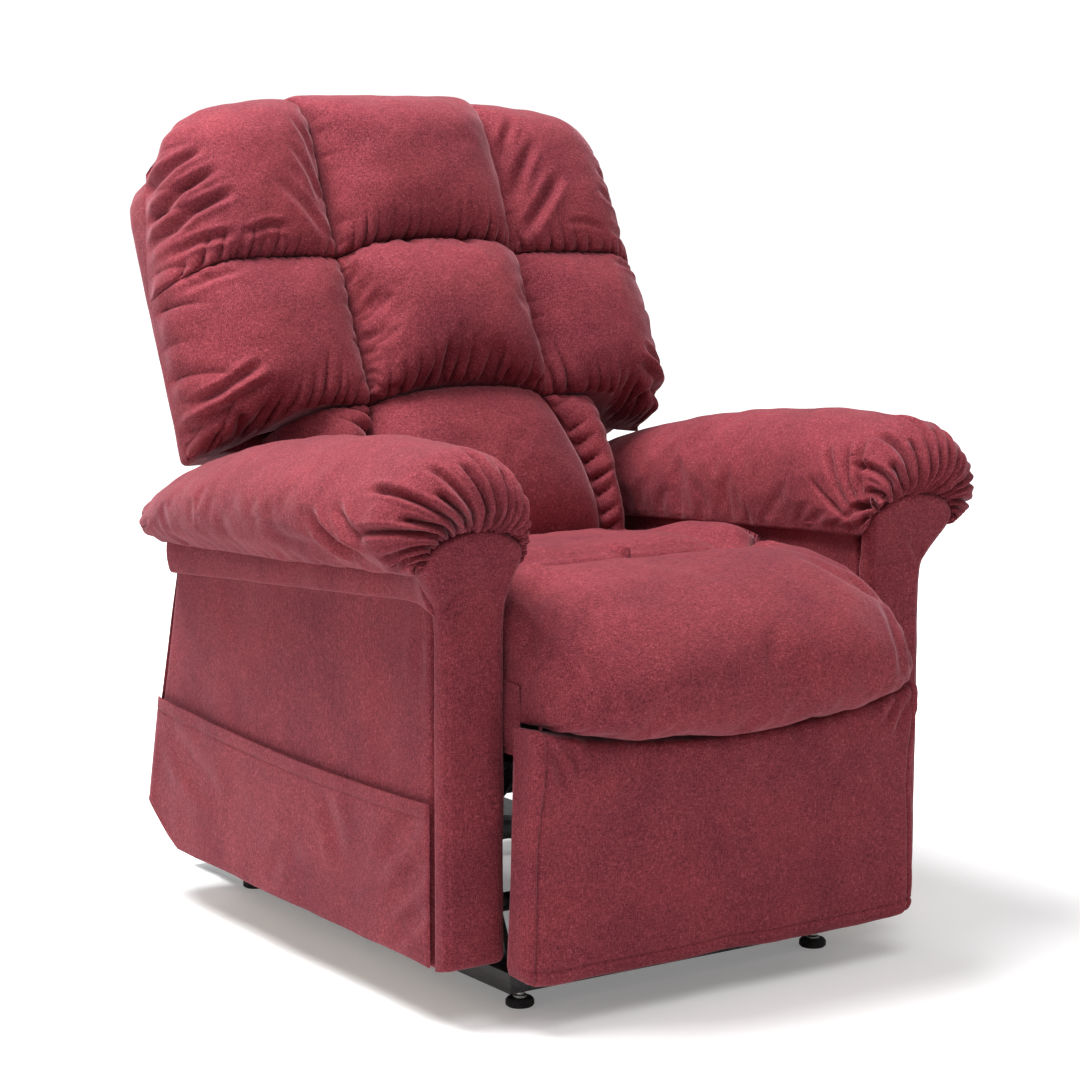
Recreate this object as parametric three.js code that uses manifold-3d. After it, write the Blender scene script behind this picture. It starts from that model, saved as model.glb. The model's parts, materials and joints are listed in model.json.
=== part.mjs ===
// Lift recliner chair, millimetres, +Z up, chair faces -Y, sitter's left is +X.
// Origin: floor, centre of the overall bounding box.
import * as THREE from 'three';
import Module from 'manifold-3d';
import { mergeVertices } from 'three/addons/utils/BufferGeometryUtils.js';

// ---- driving dimensions -------------------------------------------------
const SEAT_HALF = 274;          // seat cushion half width
const ARM_IN = 279, ARM_OUT = 362.5; // arm inner and outer faces
const ARM_FRONT = -361;         // front face of the arm post
const SKIRT_Z = 69;             // bottom edge of the side panels
const RAIL_IN = 220, RAIL_OUT = 254, RAIL_Z0 = 22, RAIL_Z1 = 47;
const RAIL_FRONT = -345, RAIL_REAR = 500;
const GLIDE_X = 228, GLIDE_YF = -327, GLIDE_YR = 342;
const LEAN = 23.7 * Math.PI / 180;   // rest angle of the back from vertical
const H = [165, 285];           // back hinge (y, z)
const A = [-215, 95], B = [-244.2, 107.9], C = [160, 125], D = [60, 150]; // lift linkage
const E = [280, 75], G = [-226.3, 159]; // lift actuator rear pin, lever pin
const M = [-20, 228], K = [195, 233];   // back actuator pins
const P1 = [-88, 240], P2 = [-144.8, 203.7], J = [-125.1, 79.2], S = [-160.2, 71], Q = [-360, 298], UU = [-65.1, 94.4], W = [-311.4, 316]; // footrest linkage
const PLATE = { chassis: [268, 273], c: [261, 266], b: [254, 259], a: [247, 252], d: [240, 245], k: [233, 238] };

const wasm = await Module(); wasm.setup();

// ---- helpers --------------------------------------------------------------
const plain = g => { let q = g.index ? g.clone() : g.clone(); q.deleteAttribute('normal'); if (q.attributes.uv) q.deleteAttribute('uv'); return mergeVertices(q, 1e-4); };
function outward(g) {
  g = plain(g); const p = g.attributes.position, ix = g.index.array; let v = 0;
  const a = new THREE.Vector3(), b = new THREE.Vector3(), c = new THREE.Vector3();
  for (let i = 0; i < ix.length; i += 3) { a.fromBufferAttribute(p, ix[i]); b.fromBufferAttribute(p, ix[i + 1]); c.fromBufferAttribute(p, ix[i + 2]); v += a.dot(b.cross(c)); }
  if (v < 0) for (let i = 0; i < ix.length; i += 3) { const t = ix[i]; ix[i] = ix[i + 1]; ix[i + 1] = t; }
  return g;
}
const toM = g => { g = outward(g); return new wasm.Manifold(new wasm.Mesh({ numProp: 3, vertProperties: new Float32Array(g.attributes.position.array), triVerts: new Uint32Array(g.index.array) })); };
const fromM = m => { const q = m.getMesh(); const g = new THREE.BufferGeometry(); g.setAttribute('position', new THREE.BufferAttribute(new Float32Array(q.vertProperties), 3)); g.setIndex(new THREE.BufferAttribute(new Uint32Array(q.triVerts), 1)); return g; };
const join = (...gs) => fromM(gs.map(toM).reduce((a, b) => a.add(b)));
const cut = (g, ...hs) => fromM(hs.map(toM).reduce((a, b) => a.subtract(b), toM(g)));
const box = (x0, x1, y0, y1, z0, z1) => { const g = new THREE.BoxGeometry(x1 - x0, y1 - y0, z1 - z0); g.translate((x0 + x1) / 2, (y0 + y1) / 2, (z0 + z1) / 2); return g; };
const cylX = (x0, x1, yz, r, n = 12) => { const g = new THREE.CylinderGeometry(r, r, x1 - x0, n); g.rotateZ(Math.PI / 2); g.translate((x0 + x1) / 2, yz[0], yz[1]); return g; };
const both = f => [f(1), f(-1)];
const sx = (x0, x1, s) => s > 0 ? [x0, x1] : [-x1, -x0];
const shapeOf = pts => new THREE.Shape(pts.map(p => new THREE.Vector2(p[0], p[1])));
const mapG = (g, f) => { const p = g.attributes.position; for (let i = 0; i < p.count; i++) { const q = f(p.getX(i), p.getY(i), p.getZ(i)); p.setXYZ(i, q[0], q[1], q[2]); } return g; };
// flat plate in the side plane: outline in (y, z), thickness from x0 to x1
const plate = (x0, x1, pts, holes = []) => { const s = shapeOf(pts); for (const h of holes) s.holes.push(new THREE.Path(h.map(p => new THREE.Vector2(p[0], p[1])))); const g = new THREE.ExtrudeGeometry(s, { depth: x1 - x0, bevelEnabled: false, curveSegments: 8 }); return mapG(g, (u, v, w) => [x0 + w, u, v]); };
// round-ended bar outline between two points
const bar = (p, q, w, n = 6) => { const a = Math.atan2(q[1] - p[1], q[0] - p[0]), r = w / 2, o = []; for (let i = 0; i <= n; i++) { const t = a - Math.PI / 2 + Math.PI * i / n; o.push([q[0] + r * Math.cos(t), q[1] + r * Math.sin(t)]); } for (let i = 0; i <= n; i++) { const t = a + Math.PI / 2 + Math.PI * i / n; o.push([p[0] + r * Math.cos(t), p[1] + r * Math.sin(t)]); } return o; };
const tube2 = (p, q, r, n = 14) => { const a = new THREE.Vector3(...p), b = new THREE.Vector3(...q), d = b.clone().sub(a), g = new THREE.CylinderGeometry(r, r, d.length(), n); g.applyQuaternion(new THREE.Quaternion().setFromUnitVectors(new THREE.Vector3(0, 1, 0), d.clone().normalize())); g.translate((a.x + b.x) / 2, (a.y + b.y) / 2, (a.z + b.z) / 2); return g; };
// closed skin through a list of rings with the same number of points
function loft(rings) {
  const n = rings[0].length, v = [], f = [];
  rings.forEach(r => r.forEach(p => v.push(...p)));
  for (let k = 0; k + 1 < rings.length; k++) for (let i = 0; i < n; i++) { const a = k * n + i, b = k * n + (i + 1) % n, c = a + n, d = b + n; f.push(a, b, d, a, d, c); }
  const cap = (k, flip) => { const c = [0, 1, 2].map(j => rings[k].reduce((t, p) => t + p[j], 0) / n), id = v.length / 3; v.push(...c); for (let i = 0; i < n; i++) { const a = k * n + i, b = k * n + (i + 1) % n; flip ? f.push(id, b, a) : f.push(id, a, b); } };
  cap(0, true); cap(rings.length - 1, false);
  const g = new THREE.BufferGeometry(); g.setAttribute('position', new THREE.Float32BufferAttribute(v, 3)); g.setIndex(f); return g;
}
// four-cornered ring with rounded corners, corners given in order, one radius each
function ring4(c, r, m = 4) {
  const o = [];
  for (let i = 0; i < 4; i++) {
    const p = c[i], a = c[(i + 3) % 4], b = c[(i + 1) % 4], la = Math.hypot(a[0] - p[0], a[1] - p[1]), lb = Math.hypot(b[0] - p[0], b[1] - p[1]);
    const ra = Math.min(r[i], la * 0.48), rb = Math.min(r[i], lb * 0.48);
    const s = [p[0] + (a[0] - p[0]) * ra / la, p[1] + (a[1] - p[1]) * ra / la], e = [p[0] + (b[0] - p[0]) * rb / lb, p[1] + (b[1] - p[1]) * rb / lb];
    for (let j = 0; j <= m; j++) { const t = j / m; o.push([(1 - t) ** 2 * s[0] + 2 * t * (1 - t) * p[0] + t * t * e[0], (1 - t) ** 2 * s[1] + 2 * t * (1 - t) * p[1] + t * t * e[1]]); }
  }
  return o;
}
const inset4 = (c, d) => { const mx = c.reduce((t, p) => t + p[0], 0) / 4, my = c.reduce((t, p) => t + p[1], 0) / 4; return c.map(p => [p[0] - Math.sign(p[0] - mx) * d, p[1] - Math.sign(p[1] - my) * d]); };
// stuffed pad: back outline grows to full size, then rounds over to the front
function pad(c, r, n0, n1, place) {
  const h = n1 - n0, prof = [[0, 8], [0.12, 1.5], [0.3, 0], [0.55, 3], [0.75, 12], [0.9, 30], [1, 62]];
  return loft(prof.map(([t, d]) => ring4(inset4(c, d), r.map(q => Math.max(q, d * 1.1 + 8))).map(p => place(p[0], p[1], n0 + h * t))));
}
const backAt = (x, s, n) => [x, H[0] + s * Math.sin(LEAN) - n * Math.cos(LEAN), H[1] + s * Math.cos(LEAN) + n * Math.sin(LEAN)];

const root = new THREE.Group(); root.name = 'lift_recliner_chair';
const COL = { fabric: 0x8a3040, steel: 0x2a2b2e, bright: 0xb8bcc0, rubber: 0x111112, wood: 0xb58a5a, plastic: 0x2c2d30, key: 0x6a6d72 };
function add(name, geo, col) {
  let g = outward(geo); g.computeVertexNormals();
  const m = new THREE.Mesh(g, new THREE.MeshStandardMaterial({ color: COL[col], roughness: 0.8 })); m.name = name; root.add(m);
}

// ---- base: floor frame, glides, power supply ---------------------------------
{
  const parts = [box(-RAIL_OUT, RAIL_OUT, RAIL_FRONT, RAIL_FRONT + 34, RAIL_Z0, RAIL_Z1), box(-RAIL_OUT, RAIL_OUT, 300, 334, RAIL_Z0, RAIL_Z1)];
  for (const s of [1, -1]) {
    parts.push(box(...sx(RAIL_IN, RAIL_OUT, s), RAIL_FRONT, RAIL_REAR, RAIL_Z0, RAIL_Z1));
    parts.push(plate(...sx(212, 221, s), [[-300, 26], [-170, 26], [-196, 96], [-204, 110], [-236, 124], [-254, 120], [-262, 106]]));
    parts.push(cylX(...sx(188.4, 214, s), A, 6)); parts.push(cylX(...sx(196, 214, s), B, 5));
    parts.push(plate(...sx(24, 30, s), [[262, 75], [270, 62], [300, 26], [330, 26], [330, 60], [296, 88], [272, 90]]));
  }
  parts.push(cylX(-28, 28, E, 5));
  const holes = []; for (const s of [1, -1]) for (const y of [GLIDE_YF, GLIDE_YR]) { const g = new THREE.CylinderGeometry(4.5, 4.5, 20, 12); g.rotateX(Math.PI / 2); g.translate(s * GLIDE_X, y, 30); holes.push(g); }
  add('base_frame', cut(join(...parts), ...holes), 'steel');
  for (const [nm, s, y] of [['front_left', 1, GLIDE_YF], ['front_right', -1, GLIDE_YF], ['rear_left', 1, GLIDE_YR], ['rear_right', -1, GLIDE_YR]]) {
    const L = (pts, n) => { const g = new THREE.LatheGeometry(pts.map(p => new THREE.Vector2(p[0], p[1])), n); g.rotateX(Math.PI / 2); g.translate(s * GLIDE_X, y, 0); return g; };
    add('glide_pad_' + nm, L([[0, 0], [15.5, 0], [17.5, 2], [17.5, 7.5], [15, 10.5], [0, 10.5]], 20), 'rubber');
    add('glide_stem_' + nm, L([[0, 10.9], [9, 10.9], [9, 13.5], [6, 15], [6, 20.5], [4, 21], [4, 38], [0, 38]], 12), 'bright');
  }
  const ps = mapG(new THREE.BoxGeometry(150, 78, 34, 1, 1, 1), (x, y, z) => [x * (z > 0 ? 0.96 : 1), y * (z > 0 ? 0.92 : 1), z]); ps.translate(0, 376, 43);
  const feet = box(-84, 84, 360, 392, 24, 30);
  add('power_supply', join(ps, feet), 'plastic');
}
// ---- lift arms and tie links ----------------------------------------------------
{
  const lever = s => plate(...sx(10, 16, s), bar(A, G, 22));
  const g = join(...both(s => plate(...sx(187, 193, s), bar(A, C, 24))), cylX(-188, 188, A, 12), ...both(lever), cylX(-13, 13, G, 5, 12));
  add('lift_arms', cut(g, cylX(-195, -188.1, A, 6.4), cylX(188.1, 195, A, 6.4), cylX(-195, -185, C, 6.4), cylX(185, 195, C, 6.4)), 'steel');
  for (const [nm, s] of [['left', 1], ['right', -1]])
    add('lift_tie_link_' + nm, cut(plate(...sx(197, 203, s), bar(B, D, 17)), cylX(...sx(195, 205, s), B, 5.4), cylX(...sx(195, 205, s), D, 6.9)), 'steel');
}
// ---- actuators -------------------------------------------------------------------
function actuator(name, ram, p, q, rTube, rRod, frac, rodFrom, motorSide) {
  const dy = q[0] - p[0], dz = q[1] - p[1], L = Math.hypot(dy, dz), u = [dy / L, dz / L], at = (t, x = 0, o = 0) => [x, p[0] + u[0] * t - u[1] * o, p[1] + u[1] * t + u[0] * o];
  const tubeL = L * frac, head = join(cylX(-20, 20, p, rTube + 1, 16), tube2(at(4), at(46), rTube + 4, 12));
  const can = tube2(at(27, motorSide * (rTube + 22)), at(108, motorSide * (rTube + 22)), 19, 14);
  const neck = tube2(at(42, motorSide * (rTube - 4)), at(42, motorSide * (rTube + 22)), 13, 10);
  let body = join(head, tube2(at(30), at(tubeL), rTube, 16), can, neck);
  body = cut(body, cylX(-22, 22, p, 5.4, 16), tube2(at(58), at(tubeL + 5), rRod + 0.6, 16));
  add(name, body, 'plastic');
  const rod = join(tube2(at(rodFrom), at(L - 13), rRod, 16), cylX(-8, 8, q, 15, 18));
  add(ram, cut(rod, cylX(-10, 10, q, 10.4, 18)), 'bright');
}
actuator('lift_actuator', 'lift_ram', E, G, 16, 9, 0.62, 200, 1);
actuator('back_actuator', 'back_ram', M, K, 13, 7, 0.62, 108, -1);

// ---- moving chassis ----------------------------------------------------------------
{
  const T1 = [-20, 300], T2 = [110, 262], parts = [];
  for (const s of [1, -1]) {
    parts.push(plate(...sx(...PLATE.chassis, s), [[-345, 392], [-345, 364], [-215, 350], [-172, 196], [-128, 186], [-60, 222], [96, 240], [176, 264], [190, 292], [168, 310], [76, 330], [62, 392]]));
    parts.push(cylX(...sx(248.4, 269, s), P1, 6), cylX(...sx(260.6, 269, s), P2, 5, 12), cylX(...sx(250.8, 269, s), H, 7));
    parts.push(plate(...sx(205, 211, s), [[-36, 290], [-30, 314], [-6, 314], [118, 276], [174, 134], [172, 112], [150, 110], [52, 138], [46, 160], [84, 232], [-6, 284]]));
    parts.push(cylX(...sx(186.4, 207, s), C, 6), cylX(...sx(196.4, 207, s), D, 5, 12));
    parts.push(plate(...sx(22, 28, s), bar(M, T1, 24)));
  }
  parts.push(cylX(-270, 270, T1, 12.5, 18), cylX(-270, 270, T2, 12.5, 18), cylX(-25, 25, M, 5, 12));
  add('chassis', join(...parts), 'steel');
}
add('seat_box', cut(box(-267, 267, -342, 58, 364, 392), box(-245, 245, -318, 36, 360, 396)), 'wood');
{ // zig-zag seat springs with two tie wires
  const parts = [];
  for (const x of [-165, -55, 55, 165]) {
    const pts = []; for (let i = 0; i <= 14; i++) { const y = 50 - i * 27, z = 396.6; pts.push(new THREE.Vector3(x + (i % 2 ? 20 : -20), y, z)); }
    const path = new THREE.CatmullRomCurve3(pts, false, 'catmullrom', 0.5), c = new THREE.Shape(); c.absarc(0, 0, 1.9, 0, Math.PI * 2);
    parts.push(new THREE.ExtrudeGeometry(c, { steps: 28, extrudePath: path, curveSegments: 2 }));
  }
  parts.push(tube2([-230, -60, 396.6], [230, -60, 396.6], 1.7, 5), tube2([-230, -200, 396.6], [230, -200, 396.6], 1.7, 5));
  for (const g of parts) g.translate(0, 0, -2);
  add('seat_springs', join(...parts), 'bright');
}
{ // seat cushion: side profile carried across the width, edges rounded over
  const prof = [[96, 402], [100, 440], [92, 468], [40, 480], [-60, 490], [-180, 504], [-300, 515], [-380, 512], [-440, 492], [-482, 458], [-500, 418], [-492, 378], [-466, 346], [-430, 337], [-392, 338], [-366, 350], [-354, 380], [-349, 402], [-120, 402]];
  const cy = -200, cz = 430, ringAt = (x, d) => prof.map((p, i) => [x, i > 13 ? p[0] : p[0] - Math.sign(p[0] - cy) * Math.min(d, Math.abs(p[0] - cy)), p[1] > cz ? p[1] - d : p[1] + (p[1] < 401 ? d * 0.3 : 0)]);
  add('seat_cushion', loft([ringAt(-SEAT_HALF, 26), ringAt(-SEAT_HALF + 6, 12), ringAt(-SEAT_HALF + 18, 3), ringAt(-SEAT_HALF + 40, 0), ringAt(0, -0.001), ringAt(SEAT_HALF - 40, 0), ringAt(SEAT_HALF - 18, 3), ringAt(SEAT_HALF - 6, 12), ringAt(SEAT_HALF, 26)]), 'fabric');
}
// ---- arms ----------------------------------------------------------------------------
const seamTop = y => 533 + (y + 333) * (-35 / 647);
for (const [nm, s] of [['left', 1], ['right', -1]]) {
  const X = (a, b) => sx(a, b, s);
  const side = d => [[-346.2, SKIRT_Z + d], [306 - d * 0.3, 78 + d], [397 - d, 125 + d * 0.6], [293 - d, 461], [310 - d, seamTop(310) - 1], [-346.2, seamTop(-346) - 1]];
  add('arm_frame_' + nm, plate(...X(289, 352), side(9), [[[-300, 130], [-300, 470], [235, 442], [262, 440], [320, 150], [290, 125]]]), 'wood');
  add('arm_side_panel_' + nm, plate(...X(352.6, ARM_OUT), side(0)), 'fabric');
  add('arm_inner_panel_' + nm, plate(...X(ARM_IN, 288.4), side(6)), 'fabric');
  // side pocket: patch panel with a sagging top edge
  const out = s > 0 ? 22 : 0;
  const hem = []; for (let i = 0; i <= 8; i++) { const t = i / 8; hem.push([-336 + 686 * t, 286 - 20 * Math.sin(Math.PI * t)]); }
  const pocket = plate(...X(363, 367), [[-336, SKIRT_Z + 4], [302, 82], [352, 108], [374, 140], ...hem.reverse()]);
  if (s > 0) mapG(pocket, (x, y, z) => { const k = Math.max(0, 1 - ((y + 60) / 110) ** 2) * Math.max(0, Math.min(1, (z - 90) / 60)); return [x + 25 * k * (z > 130 ? 1 : 0.5), y, z]; });
  if (s > 0) {
    const rows = [[-336, 367], [-170, 367], [-130, 380], [-95, 394], [-25, 394], [10, 380], [50, 367], [350, 367]], inn = [[350, 363], [52, 363], [14, 376.5], [-23, 390], [-97, 390], [-134, 376.5], [-172, 363], [-336, 363]];
    const g = new THREE.ExtrudeGeometry(shapeOf([...rows, ...inn]), { depth: 200, bevelEnabled: false, steps: 1 }); mapG(g, (u, v, w) => [v, u, 74 + w]);
    const trim = plate(355, 400, [[-340, SKIRT_Z + 4], [302, 82], [352, 108], [374, 140], ...hem]);
    add('side_pocket_' + nm, fromM(toM(g).intersect(toM(trim))), 'fabric');
  } else add('side_pocket_' + nm, pocket, 'fabric');
  // front panel: narrow post that flares into an arch under the arm pad
  const mush = d => [[ARM_IN - d, 70], [ARM_OUT + d, 70], [ARM_OUT + d, 496], [373 + d, 516], [399 + d, 550], [397 + d, 566 + d], [378 + d, 583 + d], [350, 590 + d], [324, 591 + d], [296, 585 + d], [270 - d, 568 + d], [263 - d, 550], [ARM_IN - d, 522]];
  const leanY = (y, z) => y - Math.max(0, z - 500) * 0.35;
  const fp = new THREE.ExtrudeGeometry(shapeOf(mush(0)), { depth: 14, bevelEnabled: false }); mapG(fp, (u, v, w) => [s * u, leanY(ARM_FRONT + w, v), v]);
  add('arm_front_panel_' + nm, fp, 'fabric');
  // arm pad: stuffed roll with rounded ends, notched over the arch of the front panel
  const sec = [[266, 538], [260, 565], [259, 600], [266, 640], [284, 669], [312, 686], [340, 690], [376, 684], [412, 662], [444, 630], [458, 598], [452, 568], [430, 549], [402, 540], [363, 537], [300, 536]];
  const zb = y => seamTop(y) + 2.5, hh = y => y < -226 ? 156 : 156 - 56 * ((y + 226) / 548) ** 1.5;
  const ringAt = (y, k, dz = 0) => sec.map(([x, z]) => { const w = 1 - 0.04 * Math.max(0, (y + 100) / 418); const bx = x > 340 ? 340 + (x - 340) * w : x; return [s * (345 + (bx - 345) * k), y, zb(y) + ((z - 536) * hh(y) / 154 - 70) * k + 70 + dz]; });
  const roll = loft([ringAt(-480, 0.55), ringAt(-472, 0.76), ringAt(-456, 0.9), ringAt(-430, 0.98), ringAt(-390, 1), ringAt(-226, 1), ringAt(-20, 1), ringAt(170, 1), ringAt(288, 1), ringAt(306, 0.93), ringAt(316, 0.78)]);
  const notch = new THREE.ExtrudeGeometry(shapeOf([[250, 480], [ARM_OUT + 46, 480], ...mush(3.5).slice(4, 12)]), { depth: 160, bevelEnabled: false }); mapG(notch, (u, v, w) => [s * u, -346.6 - w, v]);
  add('arm_pad_' + nm, cut(roll, notch), 'fabric');
}
// ---- backrest ----------------------------------------------------------------------------
{
  const line = i => [[-248 + i, 30 + i], [248 - i, 30 + i], [248 - i, 352 + i], [340 - i, 352 + i], [340 - i, 740 - i], [322 - i * 0.6, 757 - i], [-322 + i * 0.6, 757 - i], [-340 + i, 740 - i], [-340 + i, 352 + i], [-248 + i, 352 + i]];
  const slab = (pts, n0, n1, holes = []) => { const sh = shapeOf(pts); for (const h of holes) sh.holes.push(new THREE.Path(h.map(p => new THREE.Vector2(p[0], p[1])))); return mapG(new THREE.ExtrudeGeometry(sh, { depth: n1 - n0, bevelEnabled: false }), (u, v, w) => backAt(u, v, n0 + w)); };
  add('back_shell', cut(slab(line(0), -19, 50), slab(line(9), -11, 52)), 'fabric');
  add('back_frame', slab(line(9.6), -10.4, 36, [line(52), ]), 'wood');
  // hinge brackets on both sides, tied by the tube the back actuator pushes on
  const arm = s => plate(...sx(251.4, 257, s), [[150, 272], [158, 266], [184, 224], [204, 226], [200, 240], [182, 280], ...[[214, -8], [230, -8], [230, 30], [40, 34]].map(([q, n]) => backAt(0, q, n).slice(1))]);
  const br = join(...both(arm), ...both(s => cylX(...sx(11.5, 253, s), K, 9)), cylX(-12, 12, K, 5, 16));
  add('back_bracket', cut(br, cylX(-259, -249, H, 7.5), cylX(249, 259, H, 7.5)), 'steel');
  const R3 = [140, 368.4, 579, 832], cx = 138, g = 0.6;
  const rows = [
    ['bottom', R3[0], R3[1] - g, 200, 222], ['middle', R3[1] + g, R3[2] - g, 196, 232], ['top', R3[2] + g, R3[3], 190, 234]];
  for (const [rn, s0, s1, ns, nc] of rows) {
    const flare = rn === 'bottom' ? 48 : 0, xo0 = rn === 'bottom' ? 252 : 386, xo1 = rn === 'bottom' ? 252 : (rn === 'top' ? 376 : 390);
    const rC = rn === 'top' ? [14, 14, 30, 30] : [16, 16, 16, 16];
    add(`back_pad_${rn}_center`, pad([[-cx - flare + g, s0], [cx + flare - g, s0], [cx - g, s1], [-cx + g, s1]], rC, 51, nc, backAt), 'fabric');
    for (const [nm, s] of [['left', 1], ['right', -1]]) {
      const lo = rn === 'middle' ? Math.max(s0, 356) : s0, hi = rn === 'bottom' ? 353 : s1;
      const rr = rn === 'top' ? [14, 22, 110, 20] : rn === 'middle' ? [14, 34, 26, 14] : [8, 14, 14, 8];
      const c = [[cx + flare + g, lo], [xo0, lo], [xo1, hi], [cx + g + flare * (R3[1] - g - hi) / (R3[1] - g - R3[0]), hi]];
      add(`back_pad_${rn}_${nm}`, pad(c, rr, 51, ns, (x, q, n) => backAt(s * x, q, n)), 'fabric');
    }
  }
}
// ---- footrest linkage and pad ----------------------------------------------------------------
{
  const p = PLATE;
  const a = join(...both(s => join(plate(...sx(...p.a, s), bar(P1, J, 20)), plate(...sx(...p.a, s), bar(J, UU, 18)), plate(...sx(...p.a, s), bar(P1, UU, 14)), cylX(...sx(251, 259.4, s), J, 4.5, 12), cylX(...sx(239.6, 248, s), UU, 4.5, 12))), cylX(-248, 248, P1, 11, 18));
  add('footrest_drive_arms', cut(a, cylX(-256, -248.1, P1, 6.4), cylX(248.1, 256, P1, 6.4)), 'steel');
  for (const [nm, s] of [['left', 1], ['right', -1]]) {
    const b = join(plate(...sx(...p.b, s), bar(J, Q, 18)), plate(...sx(...p.b, s), bar(J, S, 16)), cylX(...sx(258, 266.4, s), S, 4.5, 12));
    add('footrest_lead_link_' + nm, cut(b, cylX(...sx(252, 260, s), J, 4.9, 12), cylX(...sx(252, 260, s), Q, 4.9, 12)), 'steel');
  }
  for (const [nm, s] of [['left', 1], ['right', -1]]) {
    add('footrest_stay_link_' + nm, cut(plate(...sx(...p.c, s), bar(P2, S, 15)), cylX(...sx(259, 268, s), P2, 5.4, 12), cylX(...sx(259, 268, s), S, 6.3, 14)), 'steel');
    add('footrest_guide_link_' + nm, cut(plate(...sx(...p.d, s), bar(UU, W, 14)), cylX(...sx(238, 247, s), UU, 4.9, 12), cylX(...sx(238, 247, s), W, 5.7, 14)), 'steel');
  }
  const k = join(...both(s => join(plate(...sx(...p.k, s), [[-385.6, 284], [-360, 287], [-308, 306], [-301, 312], [-303, 322], [-312, 326], [-362, 310], [-385.6, 312]]), cylX(...sx(236, 259.4, s), Q, 4.5, 12), cylX(...sx(236, 245.4, s), W, 4.5, 12))), box(-238, 238, -385.6, -381, 284, 312));
  add('footrest_bracket', k, 'steel');
  add('footrest_board', box(-266, 266, -397.6, -386, 74, 318), 'wood');
  const at = (x, z, n) => [x, -398 - n, z];
  const hw = z => 298 - 14 * (z - 60) / 270, c = [[-298, 60], [298, 60], [285, 324], [-285, 324]];
  add('footrest_pad', loft([[0, 6], [0.1, 1], [0.3, 0], [0.7, 2], [0.9, 8], [1, 18]].map(([t, d]) => ring4(inset4(c, d), [14, 14, 10, 10].map(q => q + d)).map(q => at(q[0], q[1], t * 48)))), 'fabric');
}
// ---- hand control in the left side pocket -------------------------------------------------------
{
  const hx = 365, pts = ring4([[-32, 196], [32, 196], [29, 345], [-29, 345]], [12, 12, 14, 14]);
  const body = loft([[0, 3], [3, 0], [15, 0], [19, 3]].map(([t, d]) => pts.map(q => [hx + t, -60 + q[0] * (1 - d / 34), 270 + (q[1] - 270) * (1 - d / 80)])));
  const keys = { up: [-13, 326], down: [13, 326], recline: [-13, 304], footrest: [13, 304] };
  const well = Object.values(keys).map(([y, z]) => cylX(hx + 16, hx + 22, [-60 + y, z], 8.4, 16));
  add('hand_control', cut(body, ...well), 'plastic');
  for (const [n, [y, z]] of Object.entries(keys)) add('key_' + n, cylX(hx + 17.6, hx + 20.4, [-60 + y, z], 7.9, 16), 'key');
}
export default root;
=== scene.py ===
import bpy, bmesh, json, math
import numpy as np
from mathutils import Vector, Matrix


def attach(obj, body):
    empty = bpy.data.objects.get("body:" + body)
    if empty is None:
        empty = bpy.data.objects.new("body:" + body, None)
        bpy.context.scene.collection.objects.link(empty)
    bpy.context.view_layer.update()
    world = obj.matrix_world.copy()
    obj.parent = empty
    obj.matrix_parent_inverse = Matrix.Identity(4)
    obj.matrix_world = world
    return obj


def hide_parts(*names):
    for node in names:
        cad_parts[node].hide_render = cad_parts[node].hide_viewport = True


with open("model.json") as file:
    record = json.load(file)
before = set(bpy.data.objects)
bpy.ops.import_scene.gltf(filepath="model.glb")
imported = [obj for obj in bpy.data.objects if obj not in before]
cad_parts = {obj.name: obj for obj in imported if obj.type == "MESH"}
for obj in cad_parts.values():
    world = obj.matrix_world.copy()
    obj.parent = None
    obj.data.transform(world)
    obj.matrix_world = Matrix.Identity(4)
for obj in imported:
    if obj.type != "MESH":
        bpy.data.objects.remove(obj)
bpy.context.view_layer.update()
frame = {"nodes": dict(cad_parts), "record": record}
NODES = frame["nodes"]
SCN = bpy.context.scene
PI = math.pi


# ----------------------------------------------------------------- numeric helpers
def sst(a, b, x):
    t = np.clip((np.asarray(x, float) - a) / (b - a), 0, 1)
    return t * t * (3 - 2 * t)


def _h(ix, iy, iz, seed):
    h = (ix * 374761393 + iy * 668265263 + iz * 1274126177 + seed * 974634777) & 0xFFFFFFFF
    h = ((h ^ (h >> 13)) * 1103515245) & 0xFFFFFFFF
    h = ((h ^ (h >> 16)) * 668265263) & 0xFFFFFFFF
    h = h ^ (h >> 15)
    return (h & 0xFFFFFF) / float(0xFFFFFF) * 2 - 1


def noise(P, scale, seed=0):
    """Smooth value noise in -1..1; P is (...,3) in metres, scale is the feature size in metres."""
    Q = np.asarray(P, float) / scale
    i = np.floor(Q).astype(np.int64)
    f = Q - i
    f = f * f * (3 - 2 * f)
    out = 0
    for dx in (0, 1):
        for dy in (0, 1):
            for dz in (0, 1):
                w = (f[..., 0] if dx else 1 - f[..., 0]) * (f[..., 1] if dy else 1 - f[..., 1]) * (f[..., 2] if dz else 1 - f[..., 2])
                out = out + w * _h(i[..., 0] + dx, i[..., 1] + dy, i[..., 2] + dz, seed)
    return out


def noise1(x, scale, seed=0):
    x = np.asarray(x, float)
    return noise(np.stack([x, x * 0 + 7.3 * scale, x * 0 + 3.1 * scale], -1), scale, seed)


def rnd(i, seed=0):
    i = np.asarray(i).astype(np.int64)
    return _h(i, i * 0 + 3, i * 0 + 11, seed) * 0.5 + 0.5


def interp(x, xs, ys):
    return np.interp(x, xs, ys)


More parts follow.
